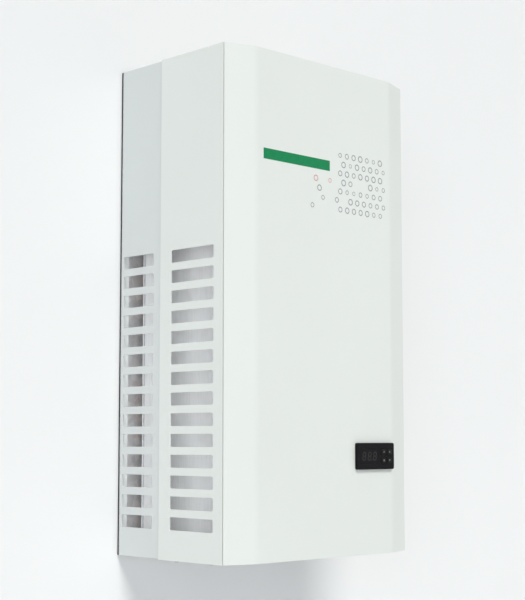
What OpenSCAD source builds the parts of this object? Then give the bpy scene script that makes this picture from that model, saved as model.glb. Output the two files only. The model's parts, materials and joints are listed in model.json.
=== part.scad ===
// Through-wall monoblock refrigeration unit: condensing section in a vented white casing outside the wall,
// insulated plug through the wall, and evaporator section behind it.
// +X is the right of the unit seen from the front, -Y is the front and +Z is up.
// The origin is the centre of the four wall bolts, on the wall face of the back plate.

/* [Casing] */
// Width over the side panels
casing_w = 370; // [350:1:420]
// Height over the hood
casing_h = 700; // [690:1:780]
// Depth from the back plate's wall face to the front panel's seam
casing_d = 218; // [214:1:260]
// Depth of the rear case that stays uncovered behind the hood
rear_d = 88; // [80:1:100]
// Sheet thickness of the rear case, the hood and the front panel
sheet_t = 1.2; // [0.8:0.1:1.6]
// Thickness of the back plate and the base pan
plate_t = 1.5; // [1:0.1:2.5]
// Width of the folded flanges
flange_w = 12; // [9:1:14]
// Width by which the rear case runs under the hood
lap_w = 12; // [10:1:16]
// Height of the base pan's rim
pan_rim_h = 25; // [15:1:28]
// Thickness of the black seal on the wall
seal_t = 3; // [2:0.5:6]
// Width of the black seal
seal_w = 14; // [10:1:16]

/* [Front panel] */
// Width of each slanting edge, measured across the front
bevel_w = 46; // [30:1:60]
// Depth of the slanting edges
bevel_d = 16; // [10:1:25]
// Outer radius of the soft folds beside the flat front
fold_r = 30; // [10:1:60]
// Width of the fold behind each slanting edge
return_w = 18; // [14:1:24]
// Width of the shadow gap between the hood and the front panel
seam_w = 1.5; // [1:0.1:3]
// Width of a hook or tab that holds the front panel
tab_w = 40; // [20:1:60]
// Depth of a hook or tab behind the seam
tab_d = 20; // [14:1:26]
// Distance of the hooks and tabs from the middle
tab_x = 70; // [60:1:90]

/* [Side vents] */
// Number of vent rows
vent_rows = 14; // [8:1:15]
// Height from one row to the next
vent_pitch = 28.2; // [24:0.1:30]
// Height of a vent
vent_h = 17.6; // [10:0.1:20]
// Height of the lowest vent above the casing's lower edge
vent_rise = 41; // [35:1:60]
// Radius of a vent's corners
vent_r = 2; // [1:0.5:5]
// Distance from the rear vents to the hood
rear_vent_out = 16; // [14:1:40]
// Distance of the rear vents from the wall face
rear_vent_in = 6; // [5:0.5:12]
// Distance from the hood's vents to the rear case
front_vent_out = 23.3; // [20:0.1:50]
// Distance of the hood's vents from the seam of the front panel
front_vent_in = 20; // [17:0.5:25]

/* [Wall bolts] */
// Distance from the casing's side to a bolt column
bolt_in_x = 24; // [21:1:26]
// Distance from the casing's upper or lower edge to a bolt row
bolt_in_z = 30; // [25:1:50]
// Radius of a wall bolt hole
bolt_hole_r = 4.5; // [3:0.5:5.5]

/* [Controller] */
// Width of the bezel
bezel_w = 80; // [76:1:84]
// Height of the bezel
bezel_h = 38; // [36:1:42]
// Depth of the bezel in front of the panel
bezel_d = 5; // [4.5:0.5:8]
// Radius of the bezel's corners
bezel_r = 3; // [1:0.5:5]
// Width of the cut-out in the front panel
cutout_w = 71; // [66:0.5:74]
// Height of the cut-out in the front panel
cutout_h = 29; // [25:0.5:32]
// Depth of the controller behind the panel
controller_d = 48; // [30:1:52]
// Height of the controller's middle above the casing's lower edge
controller_rise = 140; // [125:1:160]
// Distance from the bezel to the fold of the slanting edge
controller_in = 2; // [1:0.5:8]
// Width of the display window
window_w = 40; // [30:1:42]
// Height of the display window
window_h = 22; // [15:1:26]
// Thickness of the display window
window_t = 1.5; // [1:0.1:2]
// Width of a key
key_w = 9; // [7:0.5:10]
// Height of a key
key_h = 8; // [6:0.5:10]
// Distance between key columns
key_pitch_x = 12.5; // [11.5:0.5:13]
// Distance between key rows
key_pitch_z = 12.5; // [11.5:0.5:15]
// Length of a key along its travel
key_l = 3; // [2:0.1:3.4]
// Height of a key above the bezel
key_rise = 0.8; // [0.7:0.1:1.5]
// Travel of a key
key_travel = 0.6; // [0.3:0.1:0.7]

/* [Wall plug] */
// Distance from the casing's side to the plug
plug_in = 35; // [33:1:37]
// Height of the plug
plug_h = 270; // [260:1:280]
// Thickness of the wall that the plug fills
plug_d = 100; // [60:1:140]
// Distance from the plug's top to the casing's top
plug_drop = 27; // [25:1:40]
// Sheet thickness of the plug's sleeve
sleeve_t = 0.8; // [0.5:0.1:1.5]
// Radius of the passage for the refrigerant pipes
pipe_passage_r = 16; // [14:0.5:18]
// Radius of the passage for the drain pipe
drain_passage_r = 9; // [8.5:0.1:10]

/* [Condenser] */
// Height of the casing that the coil leaves free
coil_free_h = 290; // [286:1:330]
// Height from one tube to the next
tube_pitch = 25; // [22:0.5:25.4]
// Distance between the two tube rows
row_pitch = 22; // [20:0.5:25]
// Outer radius of a coil tube
tube_r = 4.76; // [3.5:0.01:5]
// Depth of the fins across the air flow
fin_w = 44; // [40:1:50]
// Space for bends and pipes between the hood's front and the fin stack
condenser_front = 45; // [42:1:60]
// Distance from one fin to the next
fin_pitch = 4; // [3:0.5:8]
// Thickness of a fin
fin_t = 0.3; // [0.2:0.05:0.6]
// Thickness of a coil's end plates
end_plate_t = 1.5; // [1:0.1:2]
// Distance from the left side panel to the condenser
condenser_in = 22; // [14:1:24]
// Height of the lowest fin edge above the base pan
condenser_rise = 29; // [27:1:40]
// Space between the back plate and the condenser's rear end plate
condenser_rear = 24; // [23:1:30]

/* [Fans] */
// Space between a fan and the casing's front or back
fan_in = 8.9; // [8.4:0.1:25]
// Gap between the blades and their ring
tip_gap = 3; // [2:0.5:4]
// Number of blades
blade_count = 5; // [3:1:7]
// Radius of the fan hub
hub_r = 27; // [22:1:34]
// Length of the fan hub
hub_l = 28; // [24:1:30]
// Blade width at the root
chord_root = 46; // [34:1:48]
// Blade width at the tip
chord_tip = 78; // [50:1:84]
// Blade angle at the root
pitch_root = 34; // [20:1:36]
// Blade angle at the tip
pitch_tip = 20; // [12:1:22]
// Greatest blade thickness
blade_t = 2.4; // [1.6:0.1:3]
// Radius of the motor
motor_r = 36; // [30:1:40]
// Length of the motor
motor_l = 42; // [34:1:50]
// Radius of the fan shaft
shaft_r = 3; // [2:0.5:5]
// Radial clearance of the shaft in its bearing
bearing_gap = 0.05; // [0.02:0.01:0.1]
// Depth of the fan ring
ring_d = 32; // [24:1:36]
// Gap between the condenser and the fan shroud
shroud_gap = 16; // [14:1:24]

/* [Compressor] */
// Radius of the compressor shell
comp_r = 68; // [55:1:70]
// Height of the compressor shell
comp_h = 172; // [150:1:190]
// Radius of the shell's shoulders
comp_shoulder_r = 34; // [20:1:40]
// Distance from the compressor to the right side panel
comp_in = 24; // [20:1:30]
// Distance from the compressor to the back plate
comp_rear = 24; // [20:1:28]
// Height of the rubber feet
grommet_h = 16; // [14:1:24]
// Radius of the rubber feet
grommet_r = 11; // [8:1:12]
// Distance between the feet across the width
foot_pitch_x = 120; // [110:1:130]
// Distance between the feet along the depth
foot_pitch_y = 90; // [80:1:100]

/* [Evaporator] */
// Depth of the evaporator section behind the plug
evap_d = 300; // [290:1:340]
// Gap between the evaporator section and the wall opening
evap_in = 2; // [1:0.5:6]
// Number of tubes in each evaporator row
evap_tubes = 8; // [4:2:8]
// Distance from the plug's side to the evaporator's fin stack
evap_coil_in = 30; // [28:1:50]
// Distance from one evaporator fin to the next
evap_fin_pitch = 6; // [4:0.5:10]
// Distance from the plug to the evaporator coil
intake_d = 90; // [80:1:100]
// Height of the drip tray's rim
tray_h = 20; // [14:1:22]
// Depth of the fan guard behind the fan panel
guard_d = 38; // [34:1:44]
// Radius of the guard's wire
wire_r = 1.5; // [1:0.25:2]
// Number of wire rings in the guard
guard_rings = 7; // [4:1:9]
// Number of spokes in the guard
guard_spokes = 8; // [4:1:12]

/* [Hidden] */
$fn = 48;
// Overrun of every cut
cut = 1;
// Steps of a millimetre that a pipe's corners lie on
snap_steps = 100;
// Clearance round a rigid piece in a hole
fit_gap = 0.3;

// Planes of the casing
half_w = casing_w / 2;
half_h = casing_h / 2;
rear_x = half_w - sheet_t;
rear_z = half_h - sheet_t;
inner_x = rear_x - sheet_t;
bolt_pitch_x = casing_w - 2 * bolt_in_x;
bolt_pitch_z = casing_h - 2 * bolt_in_z;
floor_z = -rear_z + plate_t;
roof_z = rear_z - sheet_t;
hood_y = -casing_d + seam_w;
rear_y = -plate_t;
lap_y = -rear_d - lap_w;
rear_vent_w = rear_d - rear_vent_in - rear_vent_out;
front_vent_w = casing_d - rear_d - front_vent_in - front_vent_out;
flat_x = half_w - bevel_w;
fold_angle = atan(bevel_d / bevel_w);
fold_steps = 6;
front_y = -casing_d - bevel_d;

// Screws
screw_r = 2;
screw_head_r = 4;
screw_head_h = 2.2;
screw_l = 8;
screw_hole_r = screw_r + fit_gap / 2;
screw_lap_y = -rear_d - lap_w / 2;
screw_lap_x = 150;
screw_edge = sheet_t + flange_w / 2;
pan_screw_in = 30;

// Condenser places
tube_count = 2 * floor((casing_h - coil_free_h) / (2 * tube_pitch));
condenser_l = rear_y - condenser_rear - hood_y - condenser_front;
coil_x0 = -inner_x + condenser_in;
coil_x1 = coil_x0 + fin_w;
coil_y1 = rear_y - condenser_rear;
coil_y0 = coil_y1 - condenser_l;
coil_z0 = floor_z + condenser_rise;
coil_h = tube_count * tube_pitch;
coil_z1 = coil_z0 + coil_h;
row_in = (fin_w - row_pitch) / 2;
tube_over = 4;
tube_gap = 0.25;
foot_w = 14;

// Condenser fan places
fan_r = (rear_y - hood_y - sheet_t) / 2 - fan_in;
shroud_x = coil_x1 + shroud_gap;
shroud_edge = 2;
shroud_rise = 8;
ring_r = fan_r + tip_gap;
fan_y = (hood_y + sheet_t + rear_y) / 2;
fan_z = coil_z0 + coil_h / 2;
blade_x = shroud_x + ring_d / 2;
motor_gap = 6;
motor_x = blade_x + hub_l / 2 + motor_gap;
bracket_w = 24;
bracket_t = 2;
bracket_in = 8;
bracket_reach = ring_r + bracket_in;

// Compressor places
comp_x = inner_x - comp_in - comp_r;
comp_y = rear_y - comp_rear - comp_r;
foot_z = floor_z + grommet_h;
foot_t = 2.5;
foot_edge = 12;
shell_z = foot_z + foot_t;
comp_top = shell_z + comp_h;
weld_w = 3;
weld_h = 5;
weld_share = 0.45;
foot_bolt_r = 3;
foot_bolt_rise = 10;
grommet_waist = 2.5;
stub_r = 5.6;
stub_h = 10;

// Pipes
suction_r = 5;
discharge_r = 4;
liquid_r = 3.2;
capillary_r = 1;
drain_r = 8;
drain_wall = 1.5;
pipe_bend = 12;
tight_bend = 9;
suction_x = comp_x + comp_r / 3;
suction_y = comp_y + comp_r / 3;
discharge_x = comp_x - comp_r / 4;
discharge_y = comp_y - comp_r / 2;
process_x = comp_x + comp_r / 3;
process_y = comp_y - comp_r / 3;

// Plug places
plug_w = casing_w - 2 * plug_in;
plug_z1 = half_h - plug_drop;
plug_z0 = plug_z1 - plug_h;
plug_z = (plug_z0 + plug_z1) / 2;
pipe_low = 44;
pipe_z = plug_z0 + pipe_low;
capillary_x = suction_x + suction_r + 4 * capillary_r;
passage_x = (suction_x - suction_r + capillary_x + capillary_r) / 2;
drain_x = motor_x + motor_l / 3;
drain_low = 12;
drain_z = plug_z0 + drain_low;
drain_ahead = 28;
drain_down_y = rear_y - drain_ahead;

// Evaporator places
evap_x = plug_w / 2 - evap_in;
evap_l = plug_w - 2 * evap_coil_in;
evap_z0 = plug_z0 + evap_in;
evap_z1 = plug_z1 - evap_in;
evap_y1 = plug_d + evap_d;
evap_coil_y0 = plug_d + intake_d;
evap_coil_w = 2 * tube_pitch;
evap_tube_low = 52;
evap_coil_z0 = evap_z0 + evap_tube_low;
evap_coil_h = evap_tubes * tube_pitch;
evap_end_x = evap_l / 2 + end_plate_t + tube_over;
evap_fan_z = plug_z;
guard_plate_t = 2;
guard_plate_over = 4;
guard_plate_r = motor_r + guard_plate_over;
guard_rim = 9;
spoke_over = 0.25;
spoke_r = wire_r + spoke_over;
evap_motor_y = evap_y1 + guard_d - guard_plate_t - motor_l;
evap_blade_y = evap_motor_y - motor_gap - hub_l / 2;
heater_r = 3.2;
heater_gap = 1.5;
suction_gap = 2;
heater_y = evap_coil_y0 - heater_r - heater_gap;
heater_edge = 5;
plate_y0 = heater_y - heater_r - heater_edge;
tray_in = 4;
tray_y0 = plate_y0 - tray_in;
tray_rise = 6;

// Nozzle of the drip tray
spout_r = drain_r - drain_wall - fit_gap;
spout_wall = 1.2;
spout_l = 14;

// Coil tubes: places across the air flow and along the row, from the coil's corner
function condenser_stops() = [for (k = [0 : 2 * tube_count - 1])
    [k % 4 == 0 || k % 4 == 3 ? coil_x1 - row_in : coil_x0 + row_in,
        coil_z1 - tube_pitch / 2 - floor(k / 2) * tube_pitch]];
function evaporator_stops() = [for (k = [0 : 2 * evap_tubes - 1]) k < evap_tubes
    ? [evap_coil_y0 + tube_pitch / 2, evap_coil_z0 + tube_pitch / 2 + k * tube_pitch]
    : [evap_coil_y0 + 3 * tube_pitch / 2,
        evap_coil_z0 + tube_pitch / 2 + (2 * evap_tubes - 1 - k) * tube_pitch]];
coil_end_y = coil_y0 - end_plate_t - tube_over;
coil_rear_y = coil_y1 + end_plate_t + tube_over;
inlet = condenser_stops()[0];
outlet = condenser_stops()[2 * tube_count - 1];
gas_port = evaporator_stops()[2 * evap_tubes - 1];
liquid_port = evaporator_stops()[0];
bend_rest = 1;

// Drier and capillary places
drier_beside = 24;
drier_x = drain_x + drier_beside;
drier_y = coil_end_y - tight_bend - bend_rest;
drier_z = outlet[1] + tight_bend + 3 * bend_rest;
drier_r = 10;
drier_l = 90;
drier_cone = 10;
loop_r = 20;
loop_pitch = 3.5;
loops = 5;
loop_rings = 24;
loop_start_share = 0.75;
loop_lift = 10;
loop_z = drier_z + drier_l + loop_lift;
riser_out = 14;
riser_x = drier_x + loop_r + riser_out;
run_z = coil_z1 + shroud_rise + 2 * discharge_r;

// Condensate tray and outlet
tray_wall = 2;
pan_tray_h = 30;
pan_tray_gap = 4;
pan_tray_beside = 14;
pan_tray_rear = 10;
pan_tray_x0 = shroud_x + sheet_t + pan_tray_gap;
pan_tray_x1 = comp_x - foot_pitch_x / 2 - foot_edge - pan_tray_beside;
pan_tray_y0 = hood_y + tab_d + pan_tray_gap;
pan_tray_y1 = rear_y - pan_tray_rear;
outlet_ahead = 30;
outlet_x = (pan_tray_x0 + pan_tray_x1) / 2;
outlet_y = drain_down_y - outlet_ahead;
outlet_l = 14;
overflow_h = 14;
outlet_flange_r = 13;
outlet_flange_h = 2;
outlet_nut_h = 4;

// Cable gland
gland_r = 8;
gland_bore_r = 5.5;
gland_nut_r = 11;
gland_nut_h = 6;
gland_cap_r = 10;
gland_cap_h = 8;
gland_in = 26;
gland_rear = 15;
gland_x = inner_x - gland_in;
gland_y = rear_y - plate_t - gland_rear;

// Electrical box
box_x = 110;
box_d = 80;
box_h = 170;
box_wall = 1.5;
box_lift = 2.7;
box_z0 = pipe_z + pipe_passage_r + box_lift;

// Small pieces
braze_gap = 0.1;
cover_out = 24;
cover_w = 46;
cover_h = 44;
cover_r = 5;
cover_gap = 2;
cover_z = shell_z + comp_h * weld_share + weld_h + cover_gap;
bolt_head_h = 2.5;
end_edge = 2;
groove_d = 1.5;
groove_w = 2;
shaft_in = 20;
hub_wall = 2;
blade_rows = 7;
blade_cols = 6;
blade_sweep = 14;
camber_share = 0.06;
edge_share = 0.35;
tip_start_share = 0.8;
tip_round_share = 0.3;
valve_r = 5;
valve_h = 8;
valve_neck_share = 0.7;
branch_pitch = 50;
valve_x = discharge_x - branch_pitch;
switch_x = valve_x - branch_pitch;
switch_r = 10;
switch_step = 2;
lid_lip = 8;
terminal_ways = 10;
terminal_pitch = 11;
terminal_d = 26;
terminal_h = 24;
terminal_rise = 14;
terminal_in = 10;
terminal_x = -box_x + box_wall + terminal_in;
terminal_step_share = 0.75;
terminal_slot_share = 0.7;
contactor_w = 45;
contactor_h = 74;
contactor_d = 60;
contactor_in = 12;
contactor_drop = 12;
contactor_step_share = 0.6;
capacitor_r = 17;
capacitor_l = 72;
capacitor_lip = 2;
key_edge = 6;
key_free = 1;
key_well = key_l - key_rise + key_travel + key_free;
key_r = 1.5;
heater_z = [evap_coil_z0 + evap_coil_h / 5, evap_coil_z0 + evap_coil_h * 4 / 5];
probe_r = 3;
probe_l = 36;

// Unit vector along v
function unit(v) = v / norm(v);

// Block between two corners
module block(low, high) {
    translate(low)
        cube(high - low);
}

// Round bar along X, Y or Z from a point
module bar_x(r, l, at) {
    translate(at)
        rotate([0, 90, 0])
            cylinder(r = r, h = l);
}

module bar_y(r, l, at) {
    translate(at)
        rotate([-90, 0, 0])
            cylinder(r = r, h = l);
}

module bar_z(r, l, at) {
    translate(at)
        cylinder(r = r, h = l);
}

// Rectangle with round corners, from its lower left corner
module round_rect(w, h, r) {
    translate([r, 0])
        square([w - 2 * r, h]);
    translate([0, r])
        square([w, h - 2 * r]);
    for (x = [r, w - r], y = [r, h - r])
        translate([x, y])
            circle(r = r);
}

// Round bar between two points
module bar_between(p, q, r) {
    d = unit(q - p);
    axis = cross([0, 0, 1], d);
    translate(p)
        rotate(a = acos(d[2]), v = norm(axis) > 0 ? axis : [1, 0, 0])
            cylinder(r = r, h = norm(q - p));
}

// Part of a ring: starts at start, runs along dir and turns towards side
module ring_part(start, dir, side, bend, angle, r) {
    x = -side;
    y = dir;
    z = cross(x, y);
    c = start + bend * side;
    multmatrix([
        [x[0], y[0], z[0], c[0]],
        [x[1], y[1], z[1], c[1]],
        [x[2], y[2], z[2], c[2]]
    ])
        rotate_extrude(angle = angle)
            translate([bend, 0])
                circle(r = r);
}

// Point on a grid of a hundredth of a millimetre
function snap(p) = [for (v = p) round(v * snap_steps) / snap_steps];

// Pipe along points whose square corners are bent to one radius
module pipe(route, r, bend) {
    points = [for (p = route) snap(p)];
    last = len(points) - 1;
    dirs = [for (i = [0 : last - 1]) unit(points[i + 1] - points[i])];
    turns = [for (i = [0 : last]) i == 0 || i == last ? 0 : acos(dirs[i - 1] * dirs[i])];
    backs = [for (t = turns) bend * tan(t / 2)];
    for (i = [0 : last - 1])
        bar_between(points[i] + backs[i] * dirs[i], points[i + 1] - backs[i + 1] * dirs[i], r);
    for (i = [1 : last - 1]) {
        side = unit(dirs[i] - (dirs[i] * dirs[i - 1]) * dirs[i - 1]);
        ring_part(points[i] - backs[i] * dirs[i - 1], dirs[i - 1], side, bend, turns[i], r);
    }
}

// Half ring that joins two parallel tubes and bulges along dir
module return_bend(p, q, dir, r) {
    ring_part(p, dir, unit(q - p), norm(q - p) / 2, 180, r);
}

// Pan-head screw with its head's seat at the origin, shank towards -Z
module screw() {
    cylinder(r = screw_head_r, h = screw_head_h);
    translate([0, 0, -screw_l])
        cylinder(r = screw_r, h = screw_l + cut);
}

// Places of the three screws that hold the hood's top to the rear case
function top_screws() = [for (x = [-1, 0, 1]) [x * screw_lap_x, screw_lap_y]];

// Places of the screws under the base pan: hood flanges, then the front panel's tabs
function pan_screws() = concat(
    [for (x = [-1, 1], y = [hood_y + pan_screw_in, -rear_d - pan_screw_in])
        [x * (half_w - screw_edge), y]],
    [for (x = [-1, 1]) [x * tab_x, hood_y + tab_d - flange_w / 2]]
);

// Height of a vent row's lower edge
function vent_z(i) = -half_h + vent_rise + i * vent_pitch;

// Side sheet with one column of vents: y0 and y1 are its ends, vent_y the vents' front end
module vented_sheet(y0, y1, z0, z1, vent_y, vent_w) {
    rotate([90, 0, 90])
        linear_extrude(height = sheet_t)
            difference() {
                translate([y0, z0])
                    square([y1 - y0, z1 - z0]);
                for (i = [0 : vent_rows - 1])
                    translate([vent_y, vent_z(i)])
                        round_rect(vent_w, vent_h, vent_r);
            }
}

// Left side of the rear case
module rear_side() {
    translate([-rear_x, 0, 0])
        vented_sheet(lap_y, rear_y, -rear_z, rear_z, -rear_vent_in - rear_vent_w, rear_vent_w);
    block([-rear_x, rear_y - sheet_t, floor_z], [-rear_x + flange_w, rear_y, roof_z]);
}

// Left side of the hood
module front_side() {
    difference() {
        union() {
            translate([-half_w, 0, 0])
                vented_sheet(hood_y, -rear_d, -half_h, half_h,
                    -casing_d + front_vent_in, front_vent_w);
            block([-half_w, hood_y, -half_h], [-half_w + flange_w, hood_y + sheet_t, rear_z]);
            block([-half_w, hood_y, -half_h], [-half_w + flange_w, -rear_d, -rear_z]);
        }
        for (p = pan_screws())
            bar_z(screw_hole_r, 2 * sheet_t + 2 * cut, [p[0], p[1], -half_h - cut]);
    }
}

module back_plate() {
    color("gainsboro")
        difference() {
            block([-rear_x, rear_y, -rear_z], [rear_x, 0, rear_z]);
            for (x = [-1, 1], z = [-1, 1])
                bar_y(bolt_hole_r, plate_t + 2 * cut,
                    [x * bolt_pitch_x / 2, rear_y - cut, z * bolt_pitch_z / 2]);
            bar_y(pipe_passage_r, plate_t + 2 * cut, [passage_x, rear_y - cut, pipe_z]);
            bar_y(drain_passage_r, plate_t + 2 * cut, [drain_x, rear_y - cut, drain_z]);
        }
}

module left_rear_side() {
    color("white")
        rear_side();
}

module right_rear_side() {
    color("white")
        mirror([1, 0, 0])
            rear_side();
}

module rear_top() {
    color("white")
        difference() {
            union() {
                block([-inner_x, lap_y, roof_z], [inner_x, rear_y, rear_z]);
                block([-inner_x + flange_w, rear_y - sheet_t, rear_z - flange_w],
                    [inner_x - flange_w, rear_y, rear_z]);
                for (x = [-inner_x, inner_x - sheet_t])
                    block([x, lap_y, rear_z - flange_w], [x + sheet_t, rear_y - sheet_t, rear_z]);
            }
            for (p = top_screws())
                bar_z(screw_hole_r, sheet_t + 2 * cut, [p[0], p[1], roof_z - cut]);
        }
}

module base_pan() {
    pan_y = hood_y + sheet_t;
    color("lightgrey")
        difference() {
            union() {
                block([-inner_x, pan_y, -rear_z], [inner_x, rear_y, floor_z]);
                block([-inner_x, pan_y, -rear_z], [inner_x, pan_y + plate_t, -rear_z + pan_rim_h]);
                block([-rear_x + flange_w, rear_y - plate_t, -rear_z],
                    [rear_x - flange_w, rear_y, -rear_z + pan_rim_h]);
                for (x = [-inner_x, inner_x - plate_t])
                    block([x, pan_y, -rear_z],
                        [x + plate_t, rear_y - sheet_t, -rear_z + pan_rim_h]);
            }
            for (p = pan_screws())
                bar_z(screw_hole_r, plate_t + 2 * cut, [p[0], p[1], -rear_z - cut]);
            for (p = foot_places())
                bar_z(foot_bolt_r + fit_gap, plate_t + 2 * cut, [p[0], p[1], -rear_z - cut]);
            bar_z(gland_r + fit_gap, plate_t + 2 * cut, [gland_x, gland_y, -rear_z - cut]);
            bar_z(drain_r + fit_gap, plate_t + 2 * cut, [outlet_x, outlet_y, -rear_z - cut]);
        }
}

module left_front_side() {
    color("white")
        front_side();
}

module right_front_side() {
    color("white")
        mirror([1, 0, 0])
            front_side();
}

module front_top() {
    color("white")
        difference() {
            union() {
                block([-rear_x, hood_y, rear_z], [rear_x, -rear_d, half_h]);
                block([-rear_x + flange_w, hood_y, half_h - flange_w],
                    [rear_x - flange_w, hood_y + sheet_t, half_h]);
                for (x = [-rear_x, rear_x - sheet_t])
                    block([x, hood_y + sheet_t, half_h - flange_w], [x + sheet_t, lap_y, half_h]);
            }
            for (x = [-1, 1])
                block([x * tab_x - tab_w / 2 - fit_gap, hood_y - cut, rear_z - sheet_t - fit_gap],
                    [x * tab_x + tab_w / 2 + fit_gap, hood_y + sheet_t + cut, rear_z]);
            for (p = top_screws())
                bar_z(screw_hole_r, sheet_t + 2 * cut, [p[0], p[1], rear_z - cut]);
        }
}

// Points of the soft fold at one side of the flat front, from the flat outwards
function fold_points(side, r) = [for (i = [0 : fold_steps]) [
    side * (flat_x - fold_r * tan(fold_angle / 2) + r * sin(i * fold_angle / fold_steps)),
    front_y + fold_r - r * cos(i * fold_angle / fold_steps)
]];

// Same points in the other order
function reversed(v) = [for (i = [1 : len(v)]) v[len(v) - i]];

// Outline of the front panel's face, from the left edge to the right edge
function face_points(r) = concat(reversed(fold_points(-1, r)), fold_points(1, r));

// Cross-section of the front panel's folded sheet
module front_section() {
    in_x = flat_x - sheet_t * tan(fold_angle / 2);
    lip_y = -casing_d - sheet_t;
    in_edge = in_x + (lip_y - front_y - sheet_t) * bevel_w / bevel_d;
    lip_x = half_w - return_w;
    polygon(concat(
        [[-half_w, -casing_d]], face_points(fold_r), [[half_w, -casing_d],
            [lip_x, -casing_d], [lip_x, lip_y], [in_edge, lip_y]],
        reversed(face_points(fold_r - sheet_t)),
        [[-in_edge, lip_y], [-lip_x, lip_y], [-lip_x, -casing_d]]
    ));
}

// Places of the controller on the front panel
controller_x = flat_x - controller_in - bezel_w / 2;
controller_z = -half_h + controller_rise;

module front_panel() {
    color("white")
        difference() {
            union() {
                translate([0, 0, -half_h])
                    linear_extrude(height = casing_h)
                        front_section();
                for (z = [-half_h, half_h - sheet_t])
                    translate([0, 0, z])
                        linear_extrude(height = sheet_t)
                            polygon(concat([[-half_w, -casing_d]], face_points(fold_r),
                                [[half_w, -casing_d]]));
                for (x = [-1, 1]) {
                    block([x * tab_x - tab_w / 2, -casing_d - bevel_d / 2, -half_h],
                        [x * tab_x + tab_w / 2, hood_y + tab_d, -rear_z]);
                    block([x * tab_x - tab_w / 2, -casing_d - bevel_d / 2, rear_z - sheet_t],
                        [x * tab_x + tab_w / 2, hood_y + tab_d / 2, rear_z]);
                }
            }
            block([controller_x - cutout_w / 2, front_y - cut, controller_z - cutout_h / 2],
                [controller_x + cutout_w / 2, -casing_d, controller_z + cutout_h / 2]);
            for (p = pan_screws())
                bar_z(screw_hole_r, sheet_t + 2 * cut, [p[0], p[1], -half_h - cut]);
        }
}

module wall_seal() {
    color("black")
        difference() {
            block([-rear_x, 0, -rear_z], [rear_x, seal_t, rear_z]);
            block([-rear_x + seal_w, -cut, -rear_z + seal_w],
                [rear_x - seal_w, seal_t + cut, rear_z - seal_w]);
        }
}

module casing_screws() {
    color("silver") {
        for (p = top_screws())
            translate([p[0], p[1], half_h])
                screw();
        for (p = pan_screws())
            translate([p[0], p[1], -half_h])
                mirror([0, 0, 1])
                    screw();
    }
}

// Places of the compressor's four feet
function foot_places() = [for (x = [-1, 1], y = [-1, 1])
    [comp_x + x * foot_pitch_x / 2, comp_y + y * foot_pitch_y / 2]];

// Half outline of the compressor shell, from its axis outwards
module shell_section() {
    s = comp_shoulder_r;
    crown_r = 2 * comp_r;
    crown_z = comp_h - crown_r;
    intersection() {
        union() {
            translate([0, s])
                square([comp_r, comp_h - 2 * s]);
            square([comp_r - s, comp_h]);
            for (z = [s, comp_h - s])
                translate([comp_r - s, z])
                    circle(r = s);
        }
        translate([0, crown_z])
            circle(r = crown_r);
        square([comp_r, comp_h]);
    }
    translate([0, comp_h * weld_share])
        square([comp_r + weld_w, weld_h]);
}

module compressor_shell() {
    sink = comp_shoulder_r;
    color("dimgrey")
        difference() {
            union() {
                translate([comp_x, comp_y, shell_z])
                    rotate_extrude()
                        shell_section();
                foot_plate();
                for (p = [[suction_x, suction_y], [discharge_x, discharge_y], [process_x, process_y]])
                    bar_z(stub_r, sink + stub_h, [p[0], p[1], comp_top - sink]);
            }
            for (p = foot_places())
                bar_z(foot_bolt_r + fit_gap, foot_t + 2 * cut, [p[0], p[1], foot_z - cut]);
            bar_z(suction_r + braze_gap, stub_h + cut, [suction_x, suction_y, comp_top]);
            bar_z(discharge_r + braze_gap, stub_h + cut, [discharge_x, discharge_y, comp_top]);
        }
}

// Foot plate that the shell is welded to
module foot_plate() {
    w = foot_pitch_x + 2 * foot_edge;
    d = foot_pitch_y + 2 * foot_edge;
    translate([comp_x - w / 2, comp_y - d / 2, foot_z])
        linear_extrude(height = foot_t)
            round_rect(w, d, foot_edge);
}

module compressor_terminal_cover() {
    color("black")
        difference() {
            translate([comp_x - comp_r - cover_out, comp_y - cover_w / 2, cover_z])
                linear_extrude(height = cover_h)
                    round_rect(comp_r, cover_w, cover_r);
            bar_z(comp_r + fit_gap, cover_h + 2 * cut, [comp_x, comp_y, cover_z - cut]);
        }
}

module compressor_grommets() {
    color("black")
        for (p = foot_places())
            translate([p[0], p[1], floor_z])
                difference() {
                    rotate_extrude()
                        grommet_section();
                    translate([0, 0, -cut])
                        cylinder(r = foot_bolt_r + fit_gap, h = grommet_h + 2 * cut);
                }
}

// Half outline of a rubber foot with a waist
module grommet_section() {
    difference() {
        square([grommet_r, grommet_h]);
        translate([grommet_r + grommet_waist, grommet_h / 2])
            circle(r = 2 * grommet_waist);
    }
}

module compressor_bolts() {
    color("silver")
        for (p = foot_places()) {
            bar_z(foot_bolt_r, grommet_h + plate_t + foot_t + foot_bolt_rise, [p[0], p[1], -rear_z]);
            bar_z(2 * foot_bolt_r, bolt_head_h, [p[0], p[1], -rear_z - bolt_head_h]);
            translate([p[0], p[1], foot_z + foot_t])
                cylinder(r = 2 * foot_bolt_r, h = foot_bolt_rise / 2, $fn = 6);
        }
}

// One fin with its tube holes, drawn flat
module fin_shape(w, h, holes) {
    difference() {
        square([w, h]);
        for (p = holes)
            translate(p)
                circle(r = tube_r, $fn = 24);
    }
}

module condenser_fins() {
    holes = [for (p = condenser_stops()) p - [coil_x0, coil_z0]];
    count = floor(condenser_l / fin_pitch);
    color("gainsboro")
        for (i = [0 : count])
            translate([coil_x0, coil_y1 - i * fin_pitch, coil_z0])
                rotate([90, 0, 0])
                    linear_extrude(height = fin_t)
                        fin_shape(fin_w, coil_h, holes);
}

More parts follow.
